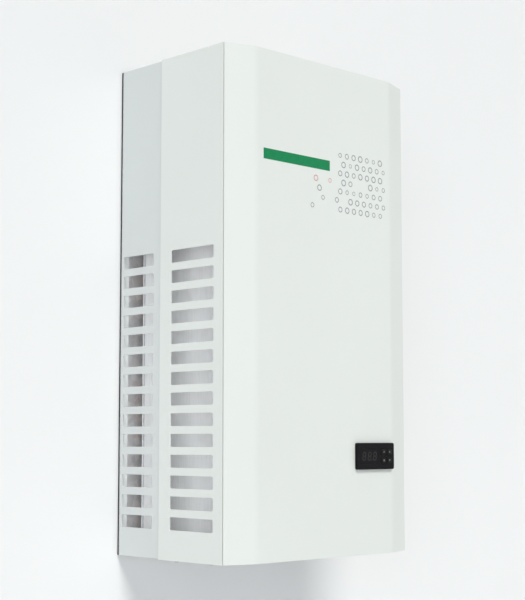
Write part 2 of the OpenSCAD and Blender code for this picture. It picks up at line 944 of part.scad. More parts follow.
module condenser_tubes() {
    stops = condenser_stops();
    last = len(stops) - 1;
    color("peru") {
        for (p = stops)
            bar_y(tube_r, coil_rear_y - coil_end_y, [p[0], coil_end_y, p[1]]);
        for (k = [0 : last - 1]) {
            p = stops[k];
            q = stops[k + 1];
            y = k % 2 == 0 ? coil_rear_y : coil_end_y;
            return_bend([p[0], y, p[1]], [q[0], y, q[1]], [0, k % 2 == 0 ? 1 : -1, 0], tube_r);
        }
    }
}

module condenser_end_plates() {
    color("silver")
        for (side = [-1, 1]) {
            y = side < 0 ? coil_y0 - end_plate_t : coil_y1;
            foot_y = side < 0 ? y - foot_w : y;
            difference() {
                union() {
                    block([coil_x0 - end_edge, y, floor_z],
                        [coil_x1 + end_edge, y + end_plate_t, coil_z1 + end_edge]);
                    block([coil_x0 - end_edge, foot_y, floor_z],
                        [coil_x1 + end_edge, foot_y + foot_w + end_plate_t, floor_z + end_plate_t]);
                }
                for (p = condenser_stops())
                    bar_y(tube_r + tube_gap, end_plate_t + 2 * cut, [p[0], y - cut, p[1]]);
            }
        }
}

module condenser_fan_shroud() {
    y0 = hood_y + sheet_t + plate_t + shroud_edge;
    y1 = rear_y - shroud_edge;
    z1 = coil_z1 + shroud_rise;
    lip = shroud_gap - 2 * end_edge;
    color("silver")
        difference() {
            union() {
                block([shroud_x, y0, floor_z], [shroud_x + sheet_t, y1, z1]);
                block([shroud_x - lip, y0, z1 - sheet_t], [shroud_x, y1, z1]);
                block([shroud_x - lip, y0, floor_z], [shroud_x, y1, floor_z + sheet_t]);
                for (y = [y0, y1 - sheet_t])
                    block([shroud_x - lip, y, floor_z], [shroud_x, y + sheet_t, z1]);
                bar_x(ring_r + sheet_t, ring_d, [shroud_x, fan_y, fan_z]);
            }
            bar_x(ring_r, ring_d + 2 * cut, [shroud_x - cut, fan_y, fan_z]);
            bar_x(liquid_r + fit_gap, sheet_t + 2 * cut, [shroud_x - cut, drier_y, outlet[1]]);
        }
}

module condenser_fan_bracket() {
    x1 = motor_x + motor_l;
    color("silver")
        difference() {
            union() {
                for (side = [-1, 1]) {
                    z = fan_z + side * bracket_reach;
                    foot = side * foot_w;
                    block([shroud_x + sheet_t, fan_y - bracket_w / 2, z - bracket_t / 2],
                        [x1 + bracket_t, fan_y + bracket_w / 2, z + bracket_t / 2]);
                    block([shroud_x + sheet_t, fan_y - bracket_w / 2, min(z, z + foot)],
                        [shroud_x + sheet_t + bracket_t, fan_y + bracket_w / 2, max(z, z + foot)]);
                }
                block([x1, fan_y - bracket_w / 2, fan_z - bracket_reach],
                    [x1 + bracket_t, fan_y + bracket_w / 2, fan_z + bracket_reach]);
            }
            bar_x(shaft_r + 2 * fit_gap, bracket_t + 2 * cut, [x1 - cut, fan_y, fan_z]);
        }
}

// Half outline of a fan motor, with grooves between its laminations and end caps
module motor_section() {
    e = motor_r / 6;
    difference() {
        union() {
            translate([0, e])
                square([motor_r, motor_l - 2 * e]);
            square([motor_r - e, motor_l]);
            for (y = [e, motor_l - e])
                translate([motor_r - e, y])
                    circle(r = e);
        }
        for (i = [1, 2])
            translate([motor_r - groove_d, i * motor_l / 3 - groove_w / 2])
                square([groove_d + cut, groove_w]);
        square([shaft_r + bearing_gap, shaft_in + 2 * fit_gap]);
    }
}

module condenser_fan_motor() {
    color("dimgrey")
        translate([motor_x, fan_y, fan_z])
            rotate([0, 90, 0])
                rotate_extrude()
                    motor_section();
}

// Half outline of the fan hub: a cup with a boss and the shaft
module hub_section() {
    translate([0, -hub_l / 2])
        square([hub_r, hub_wall]);
    translate([hub_r - hub_wall, -hub_l / 2])
        square([hub_wall, hub_l]);
    translate([0, -hub_l / 2])
        square([3 * shaft_r, hub_l]);
    translate([0, -hub_l / 2])
        square([shaft_r, hub_l + motor_gap + shaft_in]);
}

// Point on a blade: s runs from root to tip, u across the blade, side is the upper or lower surface
function blade_point(s, u, side) =
    let (
        r = hub_r - hub_wall / 2 + s * (fan_r - hub_r + hub_wall / 2),
        tip = max(0, (s - tip_start_share) / (1 - tip_start_share)),
        chord = (chord_root + s * (chord_tip - chord_root)) * (1 - tip_round_share * tip * tip),
        angle = pitch_root + s * (pitch_tip - pitch_root),
        lift = camber_share * chord * (1 - 4 * u * u),
        half_t = blade_t / 2 * (1 - (1 - edge_share) * 4 * u * u),
        turn = blade_sweep * s * s + u * chord * cos(angle) / r * 180 / PI
    )
    [r * cos(turn), r * sin(turn), u * chord * sin(angle) + lift + side * half_t];

// Two triangles for a four-cornered patch
function patch(a, b, c, d) = [[a, b, c], [a, c, d]];

// One swept and twisted blade
module blade() {
    n = blade_rows;
    m = blade_cols;
    w = m + 1;
    low = (n + 1) * w;
    points = [for (side = [1, -1], i = [0 : n], j = [0 : m]) blade_point(i / n, j / m - 1 / 2, side)];
    top = [for (i = [0 : n - 1], j = [0 : m - 1])
        each patch(i * w + j, i * w + j + 1, (i + 1) * w + j + 1, (i + 1) * w + j)];
    root = [for (j = [0 : m - 1]) each patch(j + 1, j, low + j, low + j + 1)];
    tip = [for (j = [0 : m - 1])
        each patch(n * w + j, n * w + j + 1, low + n * w + j + 1, low + n * w + j)];
    front = [for (i = [0 : n - 1])
        each patch(i * w, (i + 1) * w, low + (i + 1) * w, low + i * w)];
    back = [for (i = [0 : n - 1])
        each patch((i + 1) * w + m, i * w + m, low + i * w + m, low + (i + 1) * w + m)];
    bottom = [for (t = top) [low + t[0], low + t[2], low + t[1]]];
    polyhedron(points = points, faces = concat(top, bottom, root, tip, front, back), convexity = 4);
}

// Fan rotor round Z, with its shaft towards +Z
module rotor() {
    rotate_extrude()
        hub_section();
    for (i = [0 : blade_count - 1])
        rotate([0, 0, i * 360 / blade_count])
            blade();
}

module condenser_fan_blades() {
    color("darkslategrey")
        translate([blade_x, fan_y, fan_z])
            rotate([0, 90, 0])
                rotor();
}

module filter_drier() {
    color("peru")
        translate([drier_x, drier_y, drier_z])
            rotate_extrude()
                polygon([
                    [0, 0], [liquid_r + braze_gap, 0], [liquid_r + braze_gap, drier_cone / 2],
                    [drier_r, drier_cone + drier_cone / 2], [drier_r, drier_l - drier_cone],
                    [3 * capillary_r, drier_l], [0, drier_l]
                ]);
}

// Points round one bend of a route, from the points before, at and after the corner
function bend_points(a, p, b, bend, steps) =
    let (
        u = unit(a - p),
        v = unit(b - p),
        open = acos(u * v),
        start = p + u * bend / tan(open / 2),
        end = p + v * bend / tan(open / 2),
        c = p + unit(u + v) * bend / sin(open / 2),
        e1 = unit(start - c),
        e2 = unit((end - c) - ((end - c) * e1) * e1)
    )
    [for (i = [0 : steps]) c + bend * (cos(i * (180 - open) / steps) * e1
        + sin(i * (180 - open) / steps) * e2)];

// A route with all its corners bent
function bent_route(route, bend, steps) =
    [for (i = [0 : len(route) - 1]) each i == 0 || i == len(route) - 1
        ? [route[i]]
        : bend_points(route[i - 1], route[i], route[i + 1], bend, steps)];

// Route of the capillary: out of the drier, round it in loops, up the front and through the plug
capillary_bend = 5;
capillary_steps = 4;
capillary_in = [
    [drier_x, drier_y, drier_z + drier_l],
    [drier_x, drier_y, loop_z],
    [drier_x - loop_r * loop_start_share, drier_y, loop_z],
    [drier_x - loop_r * loop_start_share, drier_y - loop_r, loop_z],
    [drier_x, drier_y - loop_r, loop_z]
];
capillary_loops = [for (i = [1 : loops * loop_rings - 1])
    [drier_x + loop_r * sin(i * 360 / loop_rings), drier_y - loop_r * cos(i * 360 / loop_rings),
        loop_z - i * loop_pitch / loop_rings]];
capillary_end_z = loop_z - loops * loop_pitch;
capillary_turn_x = evap_end_x + tight_bend + capillary_bend;
capillary_turn_y = plug_d + intake_d / 2;
capillary_out = [
    [drier_x, drier_y - loop_r, capillary_end_z],
    [riser_x, drier_y - loop_r, capillary_end_z],
    [riser_x, drier_y - loop_r, pipe_z],
    [capillary_x, drier_y - loop_r, pipe_z],
    [capillary_x, capillary_turn_y, pipe_z],
    [capillary_turn_x, capillary_turn_y, pipe_z],
    [capillary_turn_x, capillary_turn_y, liquid_port[1]],
    [capillary_turn_x, liquid_port[0], liquid_port[1]],
    [evap_end_x, liquid_port[0], liquid_port[1]]
];
capillary_path = concat(
    bent_route(capillary_in, capillary_bend, capillary_steps),
    capillary_loops,
    bent_route(capillary_out, capillary_bend, capillary_steps)
);
capillary_sides = 6;

// Direction of a path at point i
function along(path, i) = unit(
    (i < len(path) - 1 ? unit(path[i + 1] - path[i]) : [0, 0, 0])
    + (i > 0 ? unit(path[i] - path[i - 1]) : [0, 0, 0]));

// Sideways direction at each point, carried along the path without twist
function across(path, first) =
    [for (i = 0, n = first; i < len(path);
        i = i + 1, n = i < len(path) ? unit(n - (n * along(path, i)) * along(path, i)) : n) n];

// One unbroken tube of flat sides along a path
module swept_tube(path, r, sides, first) {
    n = across(path, first);
    last = len(path) - 1;
    points = [for (i = [0 : last], j = [0 : sides - 1])
        path[i] + r * cos(j * 360 / sides) * n[i]
            + r * sin(j * 360 / sides) * cross(along(path, i), n[i])];
    walls = [for (i = [0 : last - 1], j = [0 : sides - 1])
        each patch(i * sides + j, (i + 1) * sides + j,
            (i + 1) * sides + (j + 1) % sides, i * sides + (j + 1) % sides)];
    near = [for (j = [1 : sides - 2]) [0, j, j + 1]];
    far = [for (j = [1 : sides - 2]) [last * sides, last * sides + j + 1, last * sides + j]];
    polyhedron(points = points, faces = concat(walls, near, far), convexity = 10);
}

// Least gap between parts of a tube whose points are more than half a loop apart
function tube_self_gap(path, apart, r) = min([for (i = [0 : len(path) - 1 - apart],
    j = [i + apart : len(path) - 1]) norm(path[j] - path[i])]) - 2 * r;

module capillary_tube() {
    echo(capillary_gap = tube_self_gap(capillary_path, loop_rings / 2, capillary_r));
    color("peru")
        swept_tube(capillary_path, capillary_r, capillary_sides, [1, 0, 0]);
}

module discharge_pipe() {
    inlet_y = coil_end_y - tight_bend - bend_rest;
    color("peru")
        pipe([
            [discharge_x, discharge_y, comp_top],
            [discharge_x, discharge_y, run_z],
            [inlet[0], discharge_y, run_z],
            [inlet[0], inlet_y, run_z],
            [inlet[0], inlet_y, inlet[1]],
            [inlet[0], coil_end_y, inlet[1]]
        ], discharge_r, tight_bend);
}

module suction_pipe() {
    turn_x = evap_end_x + tight_bend + bend_rest;
    color("peru")
        pipe([
            [suction_x, suction_y, comp_top],
            [suction_x, suction_y, pipe_z],
            [suction_x, gas_port[0], pipe_z],
            [turn_x, gas_port[0], pipe_z],
            [turn_x, gas_port[0], gas_port[1]],
            [evap_end_x, gas_port[0], gas_port[1]]
        ], suction_r, tight_bend);
}

module liquid_pipe() {
    color("peru")
        pipe([
            [outlet[0], coil_end_y, outlet[1]],
            [outlet[0], drier_y, outlet[1]],
            [drier_x, drier_y, outlet[1]],
            [drier_x, drier_y, drier_z]
        ], liquid_r, tight_bend);
}

// Filling valve: stem, neck and cap, standing on the origin
module valve() {
    cylinder(r = valve_r, h = valve_h);
    translate([0, 0, valve_h])
        cylinder(r = valve_r * valve_neck_share, h = valve_h);
    translate([0, 0, 2 * valve_h])
        cylinder(r = valve_r, h = valve_h, $fn = 6);
}

module service_valves() {
    color("goldenrod") {
        translate([process_x, process_y, comp_top + stub_h])
            valve();
        difference() {
            translate([valve_x, discharge_y, run_z])
                valve();
            bar_x(discharge_r + braze_gap, 4 * valve_r,
                [valve_x - 2 * valve_r, discharge_y, run_z]);
        }
    }
}

module pressure_switch() {
    color("darkgoldenrod")
        difference() {
            translate([switch_x, discharge_y, run_z]) {
                cylinder(r = valve_r, h = 2 * valve_h);
                translate([0, 0, 2 * valve_h])
                    cylinder(r = switch_r, h = valve_h, $fn = 6);
                translate([0, 0, 3 * valve_h])
                    cylinder(r = switch_r - switch_step, h = 2 * valve_h);
                for (x = [-1, 1])
                    translate([x * switch_r / 3, 0, 5 * valve_h])
                        block([-sheet_t / 2, -switch_step, 0], [sheet_t / 2, switch_step, valve_h]);
            }
            bar_x(discharge_r + braze_gap, 4 * valve_r,
                [switch_x - 2 * valve_r, discharge_y, run_z]);
        }
}

module condensate_tray() {
    color("dimgrey")
        difference() {
            block([pan_tray_x0, pan_tray_y0, floor_z],
                [pan_tray_x1, pan_tray_y1, floor_z + pan_tray_h]);
            block([pan_tray_x0 + tray_wall, pan_tray_y0 + tray_wall, floor_z + tray_wall],
                [pan_tray_x1 - tray_wall, pan_tray_y1 - tray_wall, floor_z + pan_tray_h + cut]);
            bar_z(drain_r + fit_gap, tray_wall + 2 * cut, [outlet_x, outlet_y, floor_z - cut]);
        }
}

module drain_pipe() {
    end_z = floor_z + tray_wall + overflow_h / 2;
    function route(over) = [
        [drain_x, tray_y0 - fit_gap + over, drain_z],
        [drain_x, drain_down_y, drain_z],
        [drain_x, drain_down_y, end_z - over]
    ];
    color("lightgrey")
        difference() {
            pipe(route(0), drain_r, pipe_bend);
            pipe(route(cut), drain_r - drain_wall, pipe_bend);
        }
}

// Overflow spigot with its flange under the pan, and the nut in the tray
module drain_outlet() {
    l = outlet_l + plate_t + tray_wall + overflow_h;
    low = -rear_z - outlet_l;
    color("dimgrey") {
        difference() {
            union() {
                bar_z(drain_r, l, [outlet_x, outlet_y, low]);
                bar_z(outlet_flange_r, outlet_flange_h,
                    [outlet_x, outlet_y, -rear_z - outlet_flange_h]);
            }
            bar_z(drain_r - drain_wall, l + 2 * cut, [outlet_x, outlet_y, low - cut]);
        }
        translate([outlet_x, outlet_y, floor_z + tray_wall])
            difference() {
                cylinder(r = outlet_flange_r, h = outlet_nut_h, $fn = 6);
                translate([0, 0, -cut])
                    cylinder(r = drain_r + fit_gap, h = outlet_nut_h + 2 * cut);
            }
    }
}

module electrical_box() {
    color("lightgrey")
        difference() {
            block([-box_x, rear_y - box_d, box_z0], [box_x, rear_y, box_z0 + box_h]);
            block([-box_x + box_wall, rear_y - box_d - cut, box_z0 + box_wall],
                [box_x - box_wall, rear_y - box_wall, box_z0 + box_h - box_wall]);
            for (i = [-1, 0, 1])
                bar_z(gland_r, box_wall + 2 * cut,
                    [i * box_x / 2, rear_y - box_d / 2, box_z0 - cut]);
        }
}

module electrical_box_lid() {
    y = rear_y - box_d;
    color("lightgrey")
        difference() {
            block([-box_x - box_wall, y - box_wall, box_z0 - box_wall],
                [box_x + box_wall, y + lid_lip, box_z0 + box_h + box_wall]);
            block([-box_x, y, box_z0], [box_x, y + lid_lip + cut, box_z0 + box_h]);
        }
}

module terminal_block() {
    w = terminal_ways * terminal_pitch;
    y = rear_y - box_wall;
    z = box_z0 + box_wall + terminal_rise;
    color("ivory")
        difference() {
            block([terminal_x, y - terminal_d, z], [terminal_x + w, y, z + terminal_h]);
            for (i = [0 : terminal_ways - 1]) {
                x = terminal_x + (i + 1 / 2) * terminal_pitch;
                for (low = [z - cut, z + terminal_h * terminal_step_share])
                    block([x - terminal_pitch * terminal_slot_share / 2, y - terminal_d - cut, low],
                        [x + terminal_pitch * terminal_slot_share / 2, y - terminal_d / 2,
                            low + terminal_h * (1 - terminal_step_share) + cut]);
            }
        }
}

module contactor() {
    y = rear_y - box_wall;
    z = box_z0 + box_h - box_wall - contactor_drop - contactor_h;
    x = box_x - box_wall - contactor_in - contactor_w;
    step = contactor_h / 5;
    color("dimgrey")
        difference() {
            block([x, y - contactor_d, z], [x + contactor_w, y, z + contactor_h]);
            for (low = [z - cut, z + contactor_h - step])
                block([x - cut, y - contactor_d - cut, low],
                    [x + contactor_w + cut, y - contactor_d * contactor_step_share, low + step + cut]);
        }
}

module run_capacitor() {
    y = rear_y - box_wall - capacitor_r;
    z = box_z0 + box_h - box_wall - contactor_drop - capacitor_l;
    color("silver")
        translate([-box_x + box_wall + contactor_in + capacitor_r, y, z])
            rotate_extrude()
                union() {
                    square([capacitor_r, capacitor_l - 2 * capacitor_lip]);
                    translate([0, capacitor_l - 2 * capacitor_lip])
                        square([capacitor_r - capacitor_lip, capacitor_lip]);
                    square([capacitor_r / 4, capacitor_l]);
                }
}

module cable_gland() {
    color("dimgrey")
        difference() {
            union() {
                bar_z(gland_r, 2 * gland_nut_h + plate_t,
                    [gland_x, gland_y, -rear_z - gland_nut_h]);
                for (z = [-rear_z - gland_nut_h, floor_z])
                    translate([gland_x, gland_y, z])
                        cylinder(r = gland_nut_r, h = gland_nut_h, $fn = 6);
                bar_z(gland_cap_r, gland_cap_h, [gland_x, gland_y, -rear_z - gland_nut_h - gland_cap_h]);
            }
            bar_z(gland_bore_r, 2 * gland_nut_h + plate_t + gland_cap_h + 2 * cut,
                [gland_x, gland_y, -rear_z - gland_nut_h - gland_cap_h - cut]);
        }
}

// Places of the four keys on the bezel, and of the window
function key_place(col, row) = [
    controller_x + bezel_w / 2 - key_edge - key_w / 2 - (1 - col) * key_pitch_x,
    controller_z + (row - 1 / 2) * key_pitch_z
];
window_x = controller_x - bezel_w / 2 + key_edge;

// Upright block with round corners seen from the front: x, z are its middle, y its rear face
module front_block(x, y, z, w, h, d, r) {
    translate([x - w / 2, y, z - h / 2])
        rotate([90, 0, 0])
            linear_extrude(height = d)
                round_rect(w, h, r);
}

module controller_housing() {
    color("black")
        difference() {
            union() {
                front_block(controller_x, front_y, controller_z, bezel_w, bezel_h, bezel_d, bezel_r);
                block([controller_x - cutout_w / 2 + fit_gap, front_y,
                        controller_z - cutout_h / 2 + fit_gap],
                    [controller_x + cutout_w / 2 - fit_gap, front_y + controller_d,
                        controller_z + cutout_h / 2 - fit_gap]);
            }
            block([window_x, front_y - bezel_d - cut, controller_z - window_h / 2],
                [window_x + window_w, front_y - bezel_d + window_t, controller_z + window_h / 2]);
            for (col = [0, 1], row = [0, 1])
                front_block(key_place(col, row)[0], front_y - bezel_d + key_well,
                    key_place(col, row)[1], key_w + 2 * fit_gap, key_h + 2 * fit_gap,
                    key_well + cut, key_r + fit_gap);
        }
}

module controller_window() {
    color("dimgrey")
        block([window_x, front_y - bezel_d, controller_z - window_h / 2],
            [window_x + window_w, front_y - bezel_d + window_t, controller_z + window_h / 2]);
}

// Key cap in one of the four wells
module key(col, row) {
    p = key_place(col, row);
    color("darkslategrey")
        front_block(p[0], front_y - bezel_d - key_rise + key_l, p[1], key_w, key_h, key_l, key_r);
}

module key_set() {
    key(0, 0);
}

module key_up() {
    key(0, 1);
}

module key_down() {
    key(1, 0);
}

module key_defrost() {
    key(1, 1);
}

module plug_foam() {
    w = plug_w / 2 - sleeve_t;
    color("khaki")
        difference() {
            block([-w, 0, plug_z0 + sleeve_t], [w, plug_d, plug_z1 - sleeve_t]);
            bar_y(pipe_passage_r, plug_d + 2 * cut, [passage_x, -cut, pipe_z]);
            bar_y(drain_passage_r, plug_d + 2 * cut, [drain_x, -cut, drain_z]);
        }
}

module plug_sleeve() {
    color("white")
        difference() {
            block([-plug_w / 2, 0, plug_z0], [plug_w / 2, plug_d, plug_z1]);
            block([-plug_w / 2 + sleeve_t, -cut, plug_z0 + sleeve_t],
                [plug_w / 2 - sleeve_t, plug_d + cut, plug_z1 - sleeve_t]);
        }
}

module evaporator_top() {
    color("white") {
        block([-evap_x, plug_d, evap_z1 - sheet_t], [evap_x, evap_y1 - sheet_t, evap_z1]);
        block([-evap_x + flange_w, plug_d, evap_z1 - flange_w],
            [evap_x - flange_w, plug_d + sheet_t, evap_z1]);
    }
}

// Left panel of the evaporator section with its flange on the plug
module evaporator_side() {
    block([-evap_x, plug_d, evap_z0], [-evap_x + sheet_t, evap_y1 - sheet_t, evap_z1 - sheet_t]);
    block([-evap_x, plug_d, evap_z0], [-evap_x + flange_w, plug_d + sheet_t, evap_z1 - sheet_t]);
}

module evaporator_left() {
    color("white")
        evaporator_side();
}

module evaporator_right() {
    color("white")
        mirror([1, 0, 0])
            evaporator_side();
}

module evaporator_fan_panel() {
    ring_y = evap_blade_y - ring_d / 2;
    color("white")
        difference() {
            union() {
                block([-evap_x, evap_y1 - sheet_t, evap_z0], [evap_x, evap_y1, evap_z1]);
                bar_y(ring_r + sheet_t, evap_y1 - ring_y, [0, ring_y, evap_fan_z]);
            }
            bar_y(ring_r, evap_y1 - ring_y + 2 * cut, [0, ring_y - cut, evap_fan_z]);
        }
}

module drip_tray() {
    x = evap_x - sheet_t;
    y1 = evap_y1 - sheet_t;
    low = drain_z - spout_r + spout_wall - evap_z0;
    color("gainsboro")
        difference() {
            union() {
                difference() {
                    block([-x, tray_y0, evap_z0], [x, y1, evap_z0 + tray_h]);
                    block([-x + sheet_t, tray_y0 + sheet_t, evap_z0 - cut],
                        [x - sheet_t, y1 - sheet_t, evap_z0 + tray_h + cut]);
                }
                translate([-x, 0, evap_z0])
                    rotate([90, 0, 90])
                        linear_extrude(height = 2 * x)
                            polygon([
                                [tray_y0, low - sheet_t], [y1, low + tray_rise - sheet_t],
                                [y1, low + tray_rise], [tray_y0, low]
                            ]);
                bar_y(spout_r, spout_l + sheet_t, [drain_x, tray_y0 - spout_l, drain_z]);
            }
            bar_y(spout_r - spout_wall, spout_l + sheet_t + 2 * cut,
                [drain_x, tray_y0 - spout_l - cut, drain_z]);
        }
}

module evaporator_fins() {
    holes = [for (p = evaporator_stops()) p - [evap_coil_y0, evap_coil_z0]];
    count = floor((evap_l - fin_t) / evap_fin_pitch);
    color("gainsboro")
        for (i = [0 : count])
            translate([-evap_l / 2 + i * evap_fin_pitch, evap_coil_y0, evap_coil_z0])
                rotate([90, 0, 90])
                    linear_extrude(height = fin_t)
                        fin_shape(evap_coil_w, evap_coil_h, holes);
}

module evaporator_tubes() {
    stops = evaporator_stops();
    last = len(stops) - 1;
    color("peru") {
        for (p = stops)
            bar_x(tube_r, 2 * evap_end_x, [-evap_end_x, p[0], p[1]]);
        for (k = [0 : last - 1]) {
            p = stops[k];
            q = stops[k + 1];
            x = k % 2 == 0 ? -evap_end_x : evap_end_x;
            return_bend([x, p[0], p[1]], [x, q[0], q[1]], [k % 2 == 0 ? -1 : 1, 0, 0], tube_r);
        }
    }
}

module evaporator_end_plates() {
    z0 = drain_z + spout_r + tray_rise;
    z1 = evap_z1 - sheet_t;
    color("silver")
        for (x = [-evap_l / 2 - end_plate_t, evap_l / 2])
            difference() {
                union() {
                    block([x, plate_y0, z0], [x + end_plate_t, evap_coil_y0 + evap_coil_w, z1]);
                    block([x < 0 ? x - foot_w : x, plate_y0, z1 - end_plate_t],
                        [x < 0 ? x + end_plate_t : x + end_plate_t + foot_w,
                            evap_coil_y0 + evap_coil_w, z1]);
                }
                for (p = evaporator_stops())
                    bar_x(tube_r + tube_gap, end_plate_t + 2 * cut, [x - cut, p[0], p[1]]);
                for (z = heater_z)
                    bar_x(heater_r + tube_gap, end_plate_t + 2 * cut, [x - cut, heater_y, z]);
                bar_x(suction_r + suction_gap, end_plate_t + 2 * cut,
                    [x - cut, gas_port[0], pipe_z]);
            }
}

module evaporator_fan_motor() {
    color("dimgrey")
        translate([0, evap_motor_y, evap_fan_z])
            rotate([-90, 0, 0])
                rotate_extrude()
                    motor_section();
}

module evaporator_fan_blades() {
    color("darkslategrey")
        translate([0, evap_blade_y, evap_fan_z])
            rotate([-90, 0, 0])
                rotor();
}

module evaporator_fan_guard() {
    rim_r = ring_r + guard_rim;
    top = guard_d - guard_plate_t / 2 - spoke_r;
    step = (rim_r - guard_plate_r) / guard_rings;
    color("silver")
        translate([0, evap_y1, evap_fan_z])
            rotate([-90, 0, 0]) {
                translate([0, 0, guard_d - guard_plate_t])
                    cylinder(r = guard_plate_r, h = guard_plate_t);
                for (i = [1 : guard_rings - 1])
                    wire_ring(guard_plate_r + i * step, top - wire_r);
                for (z = [2 * wire_r, guard_d / 2])
                    wire_ring(rim_r, z);
                for (i = [0 : guard_spokes - 1])
                    rotate([0, 0, (i + 1 / 2) * 360 / guard_spokes])
                        pipe([
                            [guard_plate_r - guard_plate_t, 0, top],
                            [rim_r, 0, top],
                            [rim_r, 0, 0]
                        ], spoke_r, pipe_bend);
            }
}

// Round wire ring
module wire_ring(r, z) {
    translate([0, 0, z])
        rotate_extrude()
            translate([r, 0])
                circle(r = wire_r, $fn = 24);
}

module defrost_heater() {
    turn_x = evap_end_x + tight_bend;
    color("dimgrey")
        pipe([
            [evap_end_x, heater_y, heater_z[0]],
            [-turn_x, heater_y, heater_z[0]],
            [-turn_x, heater_y, heater_z[1]],
            [evap_end_x, heater_y, heater_z[1]]
        ], heater_r, pipe_bend);
}

module air_probe() {
    x = -evap_x + sheet_t;
    y = plug_d + intake_d / 2;
    color("silver") {
        bar_z(probe_r, probe_l, [x + 2 * probe_r, y, plug_z]);
        block([x, y - probe_r, plug_z + probe_l / 3], [x + 2 * probe_r, y + probe_r, plug_z + probe_l / 2]);
    }
}

back_plate();
left_rear_side();
right_rear_side();
rear_top();
base_pan();
left_front_side();
right_front_side();
front_top();
front_panel();
wall_seal();
casing_screws();
compressor_shell();
compressor_terminal_cover();
compressor_grommets();
compressor_bolts();
condenser_fins();
condenser_tubes();
condenser_end_plates();
condenser_fan_shroud();
condenser_fan_bracket();
condenser_fan_motor();
condenser_fan_blades();
filter_drier();
capillary_tube();
discharge_pipe();
suction_pipe();
liquid_pipe();
service_valves();
pressure_switch();
condensate_tray();
drain_pipe();
drain_outlet();
electrical_box();
electrical_box_lid();
terminal_block();
contactor();
run_capacitor();
cable_gland();
controller_housing();
controller_window();
key_set();
key_up();
key_down();
key_defrost();
plug_foam();
plug_sleeve();
evaporator_top();
evaporator_left();
evaporator_right();
evaporator_fan_panel();
drip_tray();
evaporator_fins();
evaporator_tubes();
evaporator_end_plates();
evaporator_fan_motor();
evaporator_fan_blades();
evaporator_fan_guard();
defrost_heater();
air_probe();
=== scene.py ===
"""Looks of a through-wall monoblock refrigeration unit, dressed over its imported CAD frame."""

from __future__ import annotations

import json
import logging
import math
from dataclasses import dataclass
from enum import Enum

import bmesh
import bpy
from mathutils import Matrix, Vector

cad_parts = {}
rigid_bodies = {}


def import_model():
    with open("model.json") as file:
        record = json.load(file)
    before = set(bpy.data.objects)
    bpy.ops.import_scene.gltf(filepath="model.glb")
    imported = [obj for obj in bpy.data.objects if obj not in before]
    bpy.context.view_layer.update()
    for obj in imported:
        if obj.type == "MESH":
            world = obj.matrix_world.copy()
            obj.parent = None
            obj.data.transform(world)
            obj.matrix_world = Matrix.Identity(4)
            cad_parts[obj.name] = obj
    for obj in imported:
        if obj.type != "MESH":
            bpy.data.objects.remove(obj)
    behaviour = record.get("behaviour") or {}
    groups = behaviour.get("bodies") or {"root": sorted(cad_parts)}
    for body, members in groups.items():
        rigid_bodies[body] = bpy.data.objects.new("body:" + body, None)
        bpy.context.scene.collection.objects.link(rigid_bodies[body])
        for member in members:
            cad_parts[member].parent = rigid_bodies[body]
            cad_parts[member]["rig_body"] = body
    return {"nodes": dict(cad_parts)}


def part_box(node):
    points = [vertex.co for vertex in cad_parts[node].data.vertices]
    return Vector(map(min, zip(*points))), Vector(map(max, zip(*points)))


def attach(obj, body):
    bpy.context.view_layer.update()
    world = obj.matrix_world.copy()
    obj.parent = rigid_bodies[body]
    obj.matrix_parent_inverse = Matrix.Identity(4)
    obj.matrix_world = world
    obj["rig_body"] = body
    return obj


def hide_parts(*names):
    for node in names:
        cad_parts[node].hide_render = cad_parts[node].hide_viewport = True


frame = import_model()

LOG = logging.getLogger("monoblock")
MM = 0.001
SHEET_EDGE = 0.25 * MM
FINE_EDGE = 0.2 * MM
PLASTIC_EDGE = 0.3 * MM
SHARP_ANGLE = 32.0
TUBE_ANGLE = 40.0
MERGE_DISTANCE = 2e-6
FLAT_ANGLE = 0.4
WHOLE = (0.0, 1.0)
SQUARE = ((-1, -1), (1, -1), (1, 1), (-1, 1))

Colour = tuple[float, float, float]
Point = tuple[float, float, float]
Pair = tuple[float, float]
VectorPairs = list[tuple[Vector, Vector]]
Node = bpy.types.Node
Socket = bpy.types.NodeSocket
Sockets = dict[str, Socket]
Piece = bpy.types.Object


